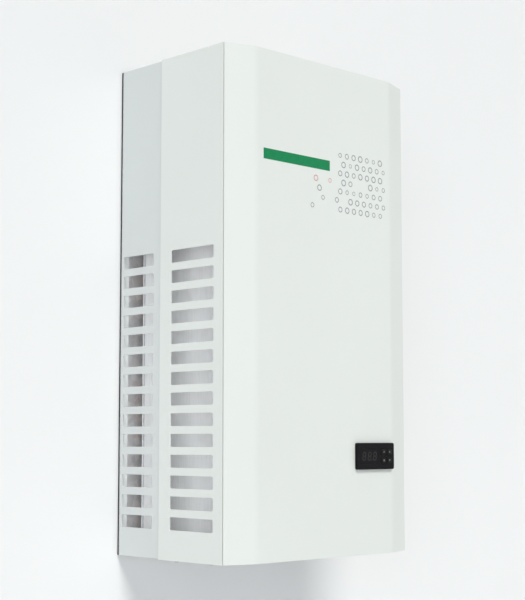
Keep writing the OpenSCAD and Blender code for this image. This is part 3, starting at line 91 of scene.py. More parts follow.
class Wiring:
    """Places nodes in one tree and joins them."""

    def __init__(self, tree: bpy.types.NodeTree) -> None:
        """Keeps the tree that the nodes go into."""
        self.tree = tree

    def put(self, kind: str, *inputs: object, **named: object) -> Node:
        """Adds a node; what an input gets is a plain value, or the socket that feeds it.

        Args:
            kind: Blender's name of the node type.
            *inputs: what its first inputs get; None leaves one as it is.
            **named: its options, and what inputs get by name, with underscores for spaces.

        Returns:
            The new node.
        """
        node = self.tree.nodes.new(kind)
        values = {i: value for i, value in enumerate(inputs) if value is not None}
        for name, value in named.items():
            if name[0].isupper():
                values[name.replace("_", " ")] = value
            else:
                setattr(node, name, value)
        self.fill(node, values)
        return node

    def fill(self, node: Node, values: dict) -> None:
        """Gives a node's inputs plain values, or joins them to the sockets that feed them."""
        for name, value in values.items():
            if isinstance(value, Socket):
                self.tree.links.new(value, node.inputs[name])
            else:
                node.inputs[name].default_value = value

    def out(self, kind: str, *inputs: object, **named: object) -> Socket:
        """Adds a node like put and returns its first output."""
        return self.put(kind, *inputs, **named).outputs[0]

    def math(self, operation: str, first: object, second: object = 0.0) -> Socket:
        """Adds a Math node and returns its result."""
        return self.out("ShaderNodeMath", first, second, operation=operation)

    def times(self, first: object, second: object) -> Socket:
        """Multiplies two numbers."""
        return self.math("MULTIPLY", first, second)

    def vectors(self, operation: str, first: object, second: object) -> Socket:
        """Adds a Vector Math node of two vectors and returns its result."""
        return self.out("ShaderNodeVectorMath", first, second, operation=operation)

    def scaled(self, vector: object, scale: object) -> Socket:
        """Multiplies a vector or a colour by a number."""
        return self.out("ShaderNodeVectorMath", vector, Scale=scale, operation="SCALE")

    def vector(self, **parts: object) -> Socket:
        """Makes a vector of its parts X, Y and Z; one that is left out is 0."""
        return self.out("ShaderNodeCombineXYZ", **parts)

    def part(self, vector: object, index: int) -> Socket:
        """Takes one number out of a vector."""
        return self.put("ShaderNodeSeparateXYZ", vector).outputs[index]

    def spread(self, value: object, span: Pair, low: object, high: object) -> Socket:
        """Maps a value from a span to low and high, and holds it within them."""
        return self.out("ShaderNodeMapRange", value, *span, low, high, clamp=True)

    def noise(self, vector: object, scale: object, detail: float) -> Socket:
        """Adds a Noise Texture and returns its value."""
        return self.out("ShaderNodeTexNoise", Vector=vector, Scale=scale, Detail=detail)

    def cells(self, vector: object, scale: object) -> Sockets:
        """Adds a Voronoi Texture and returns its outputs."""
        return self.put("ShaderNodeTexVoronoi", Vector=vector, Scale=scale).outputs

    def random(self, low: float, high: float, seed: object) -> Socket:
        """Draws a number for each point."""
        values = (None, None, low, high, *[None] * 4, seed)
        return self.put("FunctionNodeRandomValue", *values, data_type="FLOAT").outputs[1]

    def copies(self, points: Socket, form: Socket, **named: object) -> Socket:
        """Sets a copy of a form on each point."""
        return self.out("GeometryNodeInstanceOnPoints", Points=points, Instance=form, **named)


class Effect(Enum):
    """Surface effects that several finishes share: the name and the inputs of each shader group."""

    DRIFT = ("slow_shade_drift", "Vector Scale Low High")
    PEEL = ("powder_peel", "Vector Scale")
    ROLLED = ("rolled_grain", "Vector Stretch Scale")
    SPANGLE = ("zinc_spangle", "Vector Scale")
    MOULDED = ("moulded_grain", "Vector Scale")
    DUST = ("settled_dust", "Vector Facing Amount")
    TARNISH = ("tarnish_patches", "Vector Scale")
    SCUFF = ("hairline_scuffs", "Vector Scale Amount")


class EffectTree(Wiring):
    """The shader group of one effect; each effect has a method of its own."""

    def __init__(self, effect: Effect) -> None:
        """Makes the group with its inputs, and with the outputs that the effect's method gives."""
        name, labels = effect.value
        super().__init__(bpy.data.node_groups.new(name, "ShaderNodeTree"))
        face = self.tree.interface
        for label in labels.split():
            kind = "Vector" if label in ("Vector", "Stretch", "Facing") else "Float"
            face.new_socket(label, in_out="INPUT", socket_type="NodeSocket" + kind)
        entry = self.put("NodeGroupInput").outputs
        results = getattr(self, effect.name.lower())(entry["Vector"], entry)
        for label in results:
            face.new_socket(label, in_out="OUTPUT", socket_type="NodeSocketFloat")
        self.put("NodeGroupOutput", **results)

    def drift(self, place: Socket, entry: Sockets) -> Sockets:
        """Shade that wanders slowly over a part."""
        cloud = self.noise(place, entry["Scale"], detail=3.0)
        return {"Value": self.spread(cloud, (0.3, 0.7), entry["Low"], entry["High"])}

    def peel(self, place: Socket, entry: Sockets) -> Sockets:
        """Soft waves that powder leaves where it flows out."""
        fine = self.noise(place, entry["Scale"], detail=1.0)
        slow = self.noise(place, self.times(entry["Scale"], 0.3), detail=1.0)
        return {"Height": self.math("ADD", fine, slow)}

    def rolled(self, place: Socket, entry: Sockets) -> Sockets:
        """Long fine lines that rolling or drawing leaves, along the axis with the smallest stretch."""
        pulled = self.vectors("MULTIPLY", place, entry["Stretch"])
        lines = self.noise(pulled, entry["Scale"], detail=4.0)
        return {"Mask": self.spread(lines, (0.25, 0.75), *WHOLE)}

    def spangle(self, place: Socket, entry: Sockets) -> Sockets:
        """Crystals of hot-dip zinc, each with a shade of its own."""
        sway = self.put("ShaderNodeTexNoise", Vector=place, Scale=entry["Scale"], Detail=2.0)
        moved = self.vectors("ADD", place, self.scaled(sway.outputs["Color"], 4 * MM))
        cells = self.cells(moved, entry["Scale"])
        return {"Shade": self.part(cells["Color"], 0), "Height": cells["Distance"]}

    def moulded(self, place: Socket, entry: Sockets) -> Sockets:
        """Fine etched grain of a moulding tool."""
        cell_shade = self.cells(place, entry["Scale"])["Distance"]
        return {"Height": self.math("ADD", cell_shade, self.noise(place, entry["Scale"], detail=2.0))}

    def dust(self, place: Socket, entry: Sockets) -> Sockets:
        """Dust that lies where a face looks upwards."""
        lying = self.spread(self.part(entry["Facing"], 2), (0.2, 0.95), *WHOLE)
        cloud = self.spread(self.noise(place, 22.0, detail=5.0), (0.3, 0.75), 0.35, 1.0)
        return {"Mask": self.times(self.times(lying, cloud), entry["Amount"])}

    def tarnish(self, place: Socket, entry: Sockets) -> Sockets:
        """Cloudy patches where bare metal has dulled."""
        cloud = self.noise(place, entry["Scale"], detail=6.0)
        return {"Mask": self.spread(cloud, (0.42, 0.68), *WHOLE)}

    def scuff(self, place: Socket, entry: Sockets) -> Sockets:
        """Hairlines from handling, gathered in patches."""
        contour = self.noise(place, entry["Scale"], detail=1.0)
        away = self.math("ABSOLUTE", self.math("SUBTRACT", contour, 0.5))
        line = self.spread(away, (0.0, 0.012), 1.0, 0.0)
        patch = self.spread(self.noise(place, 9.0, detail=2.0), (0.5, 0.7), *WHOLE)
        return {"Mask": self.times(self.times(line, patch), entry["Amount"])}


class Coat(Wiring):
    """A material in the making: its shader, the place on the piece and what joins them."""

    def __init__(self, name: str, colour: Colour, roughness: float) -> None:
        """Starts the material with an even colour and gloss."""
        self.material = bpy.data.materials.new(name)
        self.material.use_nodes = True
        self.material.node_tree.nodes.clear()
        self.material.diffuse_color = (*colour, 1.0)
        super().__init__(self.material.node_tree)
        self.place = self.put("ShaderNodeTexCoord").outputs["Object"]
        kind = "ShaderNodeBsdfPrincipled"
        self.shader = self.put(kind, Base_Color=(*colour, 1.0), Roughness=roughness)

    def effect(self, effect: Effect, **named: object) -> Sockets:
        """Lays an effect over the piece, whose group is made at its first use; gives its outputs."""
        group = bpy.data.node_groups.get(effect.value[0]) or EffectTree(effect).tree
        return self.put("ShaderNodeGroup", node_tree=group, Vector=self.place, **named).outputs

    def drift(self, scale: float, low: float, high: float) -> Socket:
        """Lets a value wander slowly between two others."""
        return self.effect(Effect.DRIFT, Scale=scale, Low=low, High=high)[0]

    def blended(self, mask: Socket, under: Socket, over: Colour) -> Socket:
        """Lays one colour over another where a mask is high."""
        values = (mask, *[None] * 5, under, (*over, 1.0))
        return self.put("ShaderNodeMix", *values, data_type="RGBA").outputs[2]

    def feed(self, **named: object) -> None:
        """Sets inputs of the shader to even values, or joins them to changing ones."""
        self.fill(self.shader, {name.replace("_", " "): value for name, value in named.items()})

    def relief(self, height: Socket, depth: float) -> None:
        """Raises the surface by a height map of a real depth in metres."""
        self.feed(Normal=self.out("ShaderNodeBump", Height=height, Distance=depth, Strength=1.0))

    def close(self, surface: Socket | None = None) -> bpy.types.Material:
        """Ends the material with its shader, or with what is mixed from it."""
        self.put("ShaderNodeOutputMaterial", Surface=surface or self.shader.outputs[0])
        return self.material


@dataclass(frozen=True)
class Finish:
    """One finish of the unit: a colour, a gloss and the detail that its making leaves in it."""

    name: str
    slot: str
    colour: Colour
    roughness: float

    def material(self) -> bpy.types.Material:
        """Makes the material at the first call and returns the same one at each later call."""
        found = bpy.data.materials.get(self.name)
        if found:
            return found
        coat = Coat(self.name, self.colour, self.roughness)
        self.surface(coat)
        return coat.close()

    def surface(self, coat: Coat) -> None:
        """Adds the detail of this kind of finish; each kind has its own."""
        raise NotImplementedError

    def gloss(self, coat: Coat, scale: float, below: float, above: float) -> Socket:
        """Lets the roughness wander round its own value."""
        return coat.drift(scale, self.roughness - below, self.roughness + above)


@dataclass(frozen=True)
class PowderCoat(Finish):
    """Baked powder on folded sheet: faint waves, a slow shade and a little dust on top."""

    peel_scale: float = 420.0
    peel_depth: float = 0.05 * MM
    dust: float = 0.16
    dust_colour: Colour = (0.50, 0.48, 0.44)
    dust_roughness: float = 0.8

    def surface(self, coat: Coat) -> None:
        """Adds peel, drift and dust."""
        facing = coat.put("ShaderNodeNewGeometry").outputs["Normal"]
        dust = coat.effect(Effect.DUST, Facing=facing, Amount=self.dust)[0]
        shade = coat.scaled(self.colour, coat.drift(scale=3.2, low=0.985, high=1.012))
        rough = self.gloss(coat, 14.0, below=0.04, above=0.05)
        rough = coat.math("ADD", rough, coat.times(dust, self.dust_roughness))
        coat.feed(Base_Color=coat.blended(dust, shade, self.dust_colour), Roughness=rough)
        coat.relief(coat.effect(Effect.PEEL, Scale=self.peel_scale)[0], self.peel_depth)


@dataclass(frozen=True)
class ZincSheet(Finish):
    """Hot-dip galvanised sheet: flat crystals of slightly different greys."""

    spangle_scale: float = 120.0
    spangle_depth: float = 0.04 * MM
    metallic: float = 0.45
    scuff_colour: Colour = (0.80, 0.81, 0.82)

    def surface(self, coat: Coat) -> None:
        """Adds crystals and hairlines."""
        crystal = coat.effect(Effect.SPANGLE, Scale=self.spangle_scale)
        scuff = coat.effect(Effect.SCUFF, Scale=60.0, Amount=0.35)[0]
        shade = coat.spread(crystal["Shade"], WHOLE, low=0.86, high=1.08)
        rough = coat.spread(crystal["Shade"], WHOLE, self.roughness - 0.07, self.roughness + 0.09)
        marked = coat.blended(scuff, coat.scaled(self.colour, shade), self.scuff_colour)
        coat.feed(Metallic=self.metallic, Base_Color=marked, Roughness=rough)
        coat.relief(crystal["Height"], self.spangle_depth)


@dataclass(frozen=True)
class RolledMetal(Finish):
    """Bare rolled or drawn metal with lines along one axis and dull patches."""

    stretch: Point = (1.0, 0.04, 1.0)
    grain_scale: float = 900.0
    metallic: float = 0.9
    patina: Colour = (0.55, 0.55, 0.55)
    patina_scale: float = 30.0
    patina_share: float = 0.25
    patina_roughness: float = 0.35
    grain_depth: float = 0.015 * MM

    def surface(self, coat: Coat) -> None:
        """Adds lines and dull patches."""
        grain = coat.effect(Effect.ROLLED, Stretch=self.stretch, Scale=self.grain_scale)[0]
        patch = coat.effect(Effect.TARNISH, Scale=self.patina_scale)[0]
        share = coat.times(patch, self.patina_share)
        shade = coat.spread(grain, WHOLE, low=0.93, high=1.05)
        dulled = coat.blended(share, coat.scaled(self.colour, shade), self.patina)
        rough = coat.spread(grain, WHOLE, self.roughness - 0.06, self.roughness + 0.06)
        rough = coat.math("ADD", rough, coat.times(share, self.patina_roughness))
        coat.feed(Metallic=self.metallic, Base_Color=dulled, Roughness=rough)
        coat.relief(grain, self.grain_depth)


@dataclass(frozen=True)
class Moulding(Finish):
    """Moulded plastic or rubber: etched grain, a slow drift and rubbed hairlines."""

    grain_scale: float = 1400.0
    grain_depth: float = 0.03 * MM
    scuffs: float = 0.2
    scuff_colour: Colour = (0.30, 0.30, 0.30)
    shade_share: float = 0.08
    mirror: float = 0.5

    def surface(self, coat: Coat) -> None:
        """Adds grain, drift and hairlines."""
        shade = coat.drift(26.0, 1.0 - self.shade_share, 1.0 + self.shade_share)
        scuff = coat.effect(Effect.SCUFF, Scale=110.0, Amount=self.scuffs)[0]
        marked = coat.blended(scuff, coat.scaled(self.colour, shade), self.scuff_colour)
        rough = self.gloss(coat, 60.0, below=0.05, above=0.06)
        coat.feed(Specular_IOR_Level=self.mirror, Base_Color=marked, Roughness=rough)
        coat.relief(coat.effect(Effect.MOULDED, Scale=self.grain_scale)[0], self.grain_depth)


@dataclass(frozen=True)
class CellFoam(Finish):
    """Cut edge of rigid foam: small closed cells, with painted shade that darkens them along their
    relief.
    """

    cell_scale: float = 520.0
    cell_depth: float = 0.5 * MM

    def surface(self, coat: Coat) -> None:
        """Adds cells, painted shade that follows their relief, and drift."""
        height = coat.effect(Effect.SPANGLE, Scale=self.cell_scale)["Height"]
        # Painted shade: the colour is darkened where the cell relief height is high.
        cell_shade = coat.spread(height, (0.2, 0.7), low=1.0, high=0.84)
        shade = coat.times(cell_shade, coat.drift(scale=12.0, low=0.93, high=1.04))
        coat.feed(Base_Color=coat.scaled(self.colour, shade))
        coat.relief(height, self.cell_depth)


@dataclass(frozen=True)
class Ink(Finish):
    """Screen-printed ink: an even film that is a touch thinner in places."""

    mirror: float = 0.2
    peel_scale: float = 420.0
    peel_depth: float = 0.04 * MM

    def surface(self, coat: Coat) -> None:
        """Adds the film's unevenness and the coat's waves below it."""
        film = coat.scaled(self.colour, coat.drift(scale=160.0, low=0.93, high=1.06))
        rough = self.gloss(coat, 50.0, below=0.04, above=0.04)
        coat.feed(Specular_IOR_Level=self.mirror, Base_Color=film, Roughness=rough)
        coat.relief(coat.effect(Effect.PEEL, Scale=self.peel_scale)[0], self.peel_depth)


def grey(level: float) -> Colour:
    """A neutral grey."""
    return (level, level, level)


WHITE_COAT = PowderCoat("white_powder_coat", "white_coat", (0.80, 0.83, 0.80), 0.38)
# The rear case has the hood's white coat, painted darker and greyer to stand in for the shade it gets
# near the wall.
REAR_SHADED_COAT = PowderCoat("rear_case_powder_coat", "white_coat", (0.705, 0.735, 0.735), 0.38)
BLACK_ENAMEL = PowderCoat(
    "black_enamel", "black_coat", (0.022, 0.022, 0.024), 0.33,
    peel_scale=300.0, peel_depth=0.09 * MM, dust=0.3,
)
ZINC_SHEET = ZincSheet("galvanised_sheet", "galvanised", (0.66, 0.68, 0.70), 0.46)
BRIGHT_ZINC = RolledMetal(
    "bright_zinc_plate", "zinc_steel", (0.62, 0.63, 0.64), 0.30,
    stretch=(1.0, 1.0, 1.0), grain_scale=1500.0,
)
STAINLESS = RolledMetal(
    "stainless_sheath", "stainless", (0.60, 0.59, 0.57), 0.32,
    stretch=(0.06, 1.0, 1.0), grain_scale=1200.0, metallic=1.0, patina=(0.42, 0.38, 0.32),
)
FIN_STOCK = RolledMetal(
    "fin_stock", "fin_aluminium", (0.93, 0.94, 0.95), 0.5, stretch=(1.0, 1.0, 0.05),
    grain_scale=700.0, metallic=0.1, patina=(0.78, 0.78, 0.77), patina_scale=40.0, patina_share=0.3,
)
TRAY_ALUMINIUM = RolledMetal(
    "tray_aluminium", "tray_aluminium", (0.74, 0.75, 0.76), 0.36,
    stretch=(0.05, 1.0, 1.0), grain_scale=800.0,
)
MOTOR_METAL = RolledMetal(
    "motor_shell", "motor_metal", (0.34, 0.35, 0.36), 0.42, stretch=(1.0, 0.2, 1.0),
    grain_scale=500.0, metallic=0.7, patina=grey(0.22), patina_scale=60.0, patina_share=0.4,
)
COPPER = RolledMetal(
    "copper_tube", "copper", (0.80, 0.42, 0.28), 0.30, stretch=(1.0, 1.0, 0.3),
    grain_scale=500.0, metallic=1.0, patina=(0.36, 0.19, 0.13), patina_scale=55.0, patina_share=0.6,
)
BRASS = RolledMetal(
    "turned_brass", "brass", (0.74, 0.56, 0.24), 0.28, stretch=(1.0, 1.0, 0.2),
    grain_scale=900.0, metallic=1.0, patina=(0.40, 0.30, 0.15), patina_scale=70.0, patina_share=0.4,
)
BLACK_RUBBER = Moulding(
    "black_rubber", "black_rubber", (0.018, 0.018, 0.019), 0.72,
    grain_scale=900.0, grain_depth=0.06 * MM, scuffs=0.3, scuff_colour=grey(0.11),
)
BLACK_PLASTIC = Moulding(
    "black_plastic", "black_plastic", (0.014, 0.015, 0.016), 0.46,
    scuff_colour=grey(0.10), mirror=0.3,
)
GREY_PLASTIC = Moulding(
    "grey_plastic", "grey_plastic", (0.40, 0.41, 0.42), 0.45,
    grain_scale=1200.0, scuff_colour=grey(0.60),
)
IVORY_PLASTIC = Moulding(
    "ivory_plastic", "ivory_plastic", (0.72, 0.68, 0.56), 0.42,
    grain_scale=1200.0, scuff_colour=(0.85, 0.83, 0.76),
)
DISPLAY_PANE = Moulding(
    "smoked_display_pane", "display_plastic", (0.010, 0.010, 0.012), 0.12, grain_scale=300.0,
    grain_depth=0.002 * MM, scuffs=0.12, scuff_colour=grey(0.04), shade_share=0.05, mirror=0.07,
)
BEZEL_PLASTIC = Moulding(
    "bezel_plastic", "black_plastic", (0.006, 0.006, 0.007), 0.5,
    scuff_colour=grey(0.05), mirror=0.11,
)
KEY_PLASTIC = Moulding(
    "key_caps", "key_plastic", (0.012, 0.012, 0.013), 0.5, grain_scale=1100.0,
    grain_depth=0.04 * MM, scuffs=0.3, scuff_colour=grey(0.08), mirror=0.12,
)
PLUG_FOAM = CellFoam("plug_foam_cells", "foam", (0.80, 0.74, 0.55), 0.88)
GREEN_INK = Ink("green_ink", "white_coat", (0.008, 0.235, 0.085), 0.42)
GREY_INK = Ink("grey_ink", "white_coat", (0.33, 0.34, 0.37), 0.42)
ROSE_INK = Ink("rose_ink", "white_coat", (0.72, 0.34, 0.34), 0.42)
KEY_INK = Ink("key_mark_ink", "key_plastic", (0.17, 0.175, 0.18), 0.45)
DIM_SEGMENT = Ink("resting_segments", "display_plastic", (0.045, 0.040, 0.038), 0.16, mirror=0.07)


class FormTree(Wiring):
    """Geometry Nodes tree with named inputs that makes one repeated form."""

    def __init__(self, name: str, **inputs: str) -> None:
        """Makes an empty tree; each input is given by name, with the kind of its socket."""
        super().__init__(bpy.data.node_groups.new(name, "GeometryNodeTree"))
        face = self.tree.interface
        for label, kind in {"Geometry": "Geometry", **inputs, "Finish": "Material"}.items():
            label, kind = label.replace("_", " "), "NodeSocket" + kind
            face.new_socket(label, in_out="INPUT", socket_type=kind)
        face.new_socket("Geometry", in_out="OUTPUT", socket_type="NodeSocketGeometry")
        self.entry = self.put("NodeGroupInput").outputs

    def close(self, geometry: Socket) -> FormTree:
        """Ends the tree: instances become real and get their finish."""
        real = self.out("GeometryNodeRealizeInstances", geometry)
        kind = "GeometryNodeSetMaterial"
        self.put("NodeGroupOutput", self.out(kind, Geometry=real, Material=self.entry["Finish"]))
        return self

    def run(
        self, name: str, finish: Finish, carrier: bpy.types.Mesh | None = None, **values: object
    ) -> Piece:
        """Runs the tree once, on a carrier or on nothing, and keeps the result as a plain piece."""
        base = linked(name + "_base", carrier or bpy.data.meshes.new(name + "_base"))
        modifier = base.modifiers.new("form", "NODES")
        modifier.node_group = self.tree
        values["Finish"] = finish.material()
        for item in self.tree.interface.items_tree:
            key = item.name.replace(" ", "_")
            if item.in_out == "INPUT" and key in values:
                modifier[item.identifier] = values[key]
        base.update_tag()
        mesh = evaluated(base)
        bpy.data.objects.remove(base)
        mesh.name = name
        return linked(name, mesh)


class Forms:
    """The Geometry Nodes trees of this unit: fin packs, fasteners, printed rings and weld ripples."""

    def __init__(self) -> None:
        """Builds the trees."""
        self.fins = self._fins()
        self.heads = self._heads()
        self.rings = self._rings()
        self.weld = self._weld()

    @staticmethod
    def _fins() -> FormTree:
        """Rippled plates in a row."""
        form = FormTree(
            "fin_pack", Count="Int", Start="Vector", Step="Vector", Plate="Vector",
            Ripple="Float", Ripple_Length="Float", Turn="Rotation",
        )
        out, entry = form.out, form.entry
        start, step = entry["Start"], entry["Step"]
        row = out("GeometryNodeMeshLine", entry["Count"], Start_Location=start, Offset=step)
        plate = out("GeometryNodeMeshCube", entry["Plate"], Vertices_X=17, Vertices_Y=2, Vertices_Z=2)
        along = form.part(out("GeometryNodeInputPosition"), 0)
        turns = form.times(form.math("DIVIDE", along, entry["Ripple Length"]), 2 * math.pi)
        lift = form.vector(Y=form.times(form.math("SINE", turns), entry["Ripple"]))
        bent = out("GeometryNodeSetPosition", plate, Offset=lift)
        turned = out("GeometryNodeTransform", bent, Rotation=entry["Turn"])
        return form.close(form.copies(row, turned))

    @staticmethod
    def _heads() -> FormTree:
        """A fastener head on each point of the carrier, along its aim and turned at random."""
        form = FormTree("fastener_heads", Head="Object", Seed="Int")
        out, entry = form.out, form.entry
        head = form.put("GeometryNodeObjectInfo", entry["Head"]).outputs["Geometry"]
        aim = out("GeometryNodeInputNamedAttribute", "aim", data_type="FLOAT_VECTOR")
        upright = out("FunctionNodeAlignRotationToVector", Vector=aim, axis="Z")
        spin = form.vector(Z=form.random(0.0, math.pi, entry["Seed"]))
        turn = out("FunctionNodeEulerToRotation", spin)
        both = out("FunctionNodeRotateRotation", upright, turn, rotation_space="LOCAL")
        return form.close(form.copies(entry["Geometry"], head, Rotation=both))

    @staticmethod
    def _rings() -> FormTree:
        """Small printed rings in offset rows, thinned out at random towards the left."""
        form = FormTree(
            "printed_rings", Columns="Int", Rows="Int", Pitch_X="Float", Pitch_Z="Float",
            Corner="Vector", Radius="Float", Line="Float", Film="Float", Seed="Int",
            Left_Share="Float", Right_Share="Float",
        )
        out, entry, columns, nowhere = form.out, form.entry, form.entry["Columns"], (0.0, 0.0, 0.0)
        count = form.times(columns, entry["Rows"])
        spots = out("GeometryNodeMeshLine", count, Start_Location=nowhere, Offset=nowhere)
        index = out("GeometryNodeInputIndex")
        row = form.math("FLOOR", form.math("DIVIDE", index, columns))
        column = form.math("SUBTRACT", index, form.times(row, columns))
        offset = form.times(form.math("MODULO", row, 2.0), 0.5)
        x = form.times(form.math("ADD", column, offset), entry["Pitch X"])
        place = form.vector(X=x, Z=form.times(row, entry["Pitch Z"]))
        moved = form.vectors("ADD", place, entry["Corner"])
        spots = out("GeometryNodeSetPosition", spots, Position=moved)
        along = form.math("DIVIDE", column, columns)
        share = form.spread(along, WHOLE, entry["Left Share"], entry["Right Share"])
        gone = form.math("GREATER_THAN", form.random(0.0, 1.0, entry["Seed"]), share)
        kept = out("GeometryNodeDeleteGeometry", spots, gone, domain="POINT")
        kind = "GeometryNodeCurvePrimitiveCircle"
        loop = out(kind, Resolution=24, Radius=entry["Radius"], mode="RADIUS")
        kind = "GeometryNodeCurvePrimitiveQuadrilateral"
        stroke = out(kind, Width=entry["Line"], Height=entry["Film"])
        ring = out("GeometryNodeCurveToMesh", loop, stroke)
        facing = out("GeometryNodeTransform", ring, Rotation=(math.pi / 2, 0.0, 0.0))
        size = form.random(0.6, 1.0, form.math("ADD", entry["Seed"], 7.0))
        return form.close(form.copies(kept, facing, Scale=form.vector(X=size, Y=1.0, Z=size)))

    @staticmethod
    def _weld() -> FormTree:
        """Overlapping ripples of a weld run round a shell."""
        form = FormTree(
            "weld_run", Ripples="Int", Radius="Float", Width="Float", Middle="Vector", Seed="Int"
        )
        out, entry = form.out, form.entry
        ring = out("GeometryNodeMeshCircle", entry["Ripples"], entry["Radius"])
        placed = out("GeometryNodeTransform", ring, Translation=entry["Middle"])
        bead = out("GeometryNodeMeshUVSphere", Segments=8, Rings=5, Radius=entry["Width"])
        wobble = form.random(0.85, 1.1, entry["Seed"])
        return form.close(form.copies(placed, bead, Scale=form.vector(X=wobble, Y=wobble, Z=wobble)))


def linked(name: str, data: object) -> Piece:
    """Makes an object of a mesh, a lamp or a camera and puts it in the scene."""
    made = bpy.data.objects.new(name, data)
    bpy.context.scene.collection.objects.link(made)
    return made


def evaluated(piece: Piece) -> bpy.types.Mesh:
    """Takes the mesh that a piece's modifiers make."""
    seen = piece.evaluated_get(bpy.context.evaluated_depsgraph_get())
    return bpy.data.meshes.new_from_object(seen)


def mesh_object(name: str, shape: bmesh.types.BMesh) -> Piece:
    """Turns a finished bmesh into an object at the origin and frees it."""
    mesh = bpy.data.meshes.new(name)
    shape.to_mesh(mesh)
    shape.free()
    return linked(name, mesh)


def bridge(shape: bmesh.types.BMesh, low: list, high: list) -> None:
    """Joins two rings of vertices by faces; a ring of one vertex makes a tip."""
    count = max(len(low), len(high))
    for i in range(count):
        j = (i + 1) % count
        corners = (low[i % len(low)], low[j % len(low)], high[j % len(high)], high[i % len(high)])
        shape.faces.new(list(dict.fromkeys(corners)))


def block(shape: bmesh.types.BMesh, low: list[Point], high: list[Point]) -> None:
    """Adds a closed block between two outlines, counterclockwise seen from the second one's side."""
    under, over = [[shape.verts.new(corner) for corner in outline] for outline in (low, high)]
    shape.faces.new(under[::-1])
    shape.faces.new(over)
    bridge(shape, under, over)


def plate(shape: bmesh.types.BMesh, outline: list[Pair], front: float, back: float) -> None:
    """Adds a closed plate; its outline is in x and z, counterclockwise seen from the front."""
    block(shape, [(x, back, z) for x, z in outline], [(x, front, z) for x, z in outline])


def circle(radius: float, steps: int) -> list[Pair]:
    """Corners of a circle, counterclockwise."""
    turns = [2 * math.pi * i / steps for i in range(steps)]
    return [(radius * math.cos(a), radius * math.sin(a)) for a in turns]


def revolved(name: str, profile: list[Pair], steps: int) -> Piece:
    """Turns a profile round Z; it has radius and height, from the lower to the upper middle."""
    shape = bmesh.new()
    rings = []
    for radius, height in profile:
        corners = circle(radius, steps) if radius else [(0, 0)]
        rings.append([shape.verts.new((x, y, height)) for x, y in corners])
    for low, high in zip(rings, rings[1:]):
        bridge(shape, low, high)
    bmesh.ops.recalc_face_normals(shape, faces=shape.faces)
    return mesh_object(name, shape)


def islands(node: str) -> VectorPairs:
    """Finds the separate solids in a CAD node: the lowest and the highest corner of each."""
    shape = bmesh.new()
    shape.from_mesh(frame["nodes"][node].data)
    bmesh.ops.remove_doubles(shape, verts=shape.verts, dist=MERGE_DISTANCE / 2)
    left, boxes = set(shape.verts), []
    while left:
        seed = left.pop()
        group, edge = {seed}, [seed]
        while edge:
            near = {vert for link in edge.pop().link_edges for vert in link.verts} & left
            left -= near
            group |= near
            edge.extend(near)
        spots = [v.co for v in group]
        boxes.append(tuple(Vector([pick(p[i] for p in spots) for i in range(3)]) for pick in (min, max)))
    shape.free()
    return sorted(boxes, key=lambda pair: tuple(round(v, 4) for v in pair[0]))


@dataclass(frozen=True)
class Dress:
    """What becomes of CAD nodes: their finish, and how their edges are treated.

    Attributes:
        finish: their finish.
        nodes: their names, with spaces between.
        edge: width of the broken edges in metres, or 0 for none.
        angle: degrees above which an edge stays sharp.
    """

    finish: Finish
    nodes: str
    edge: float = 0.0
    angle: float = SHARP_ANGLE


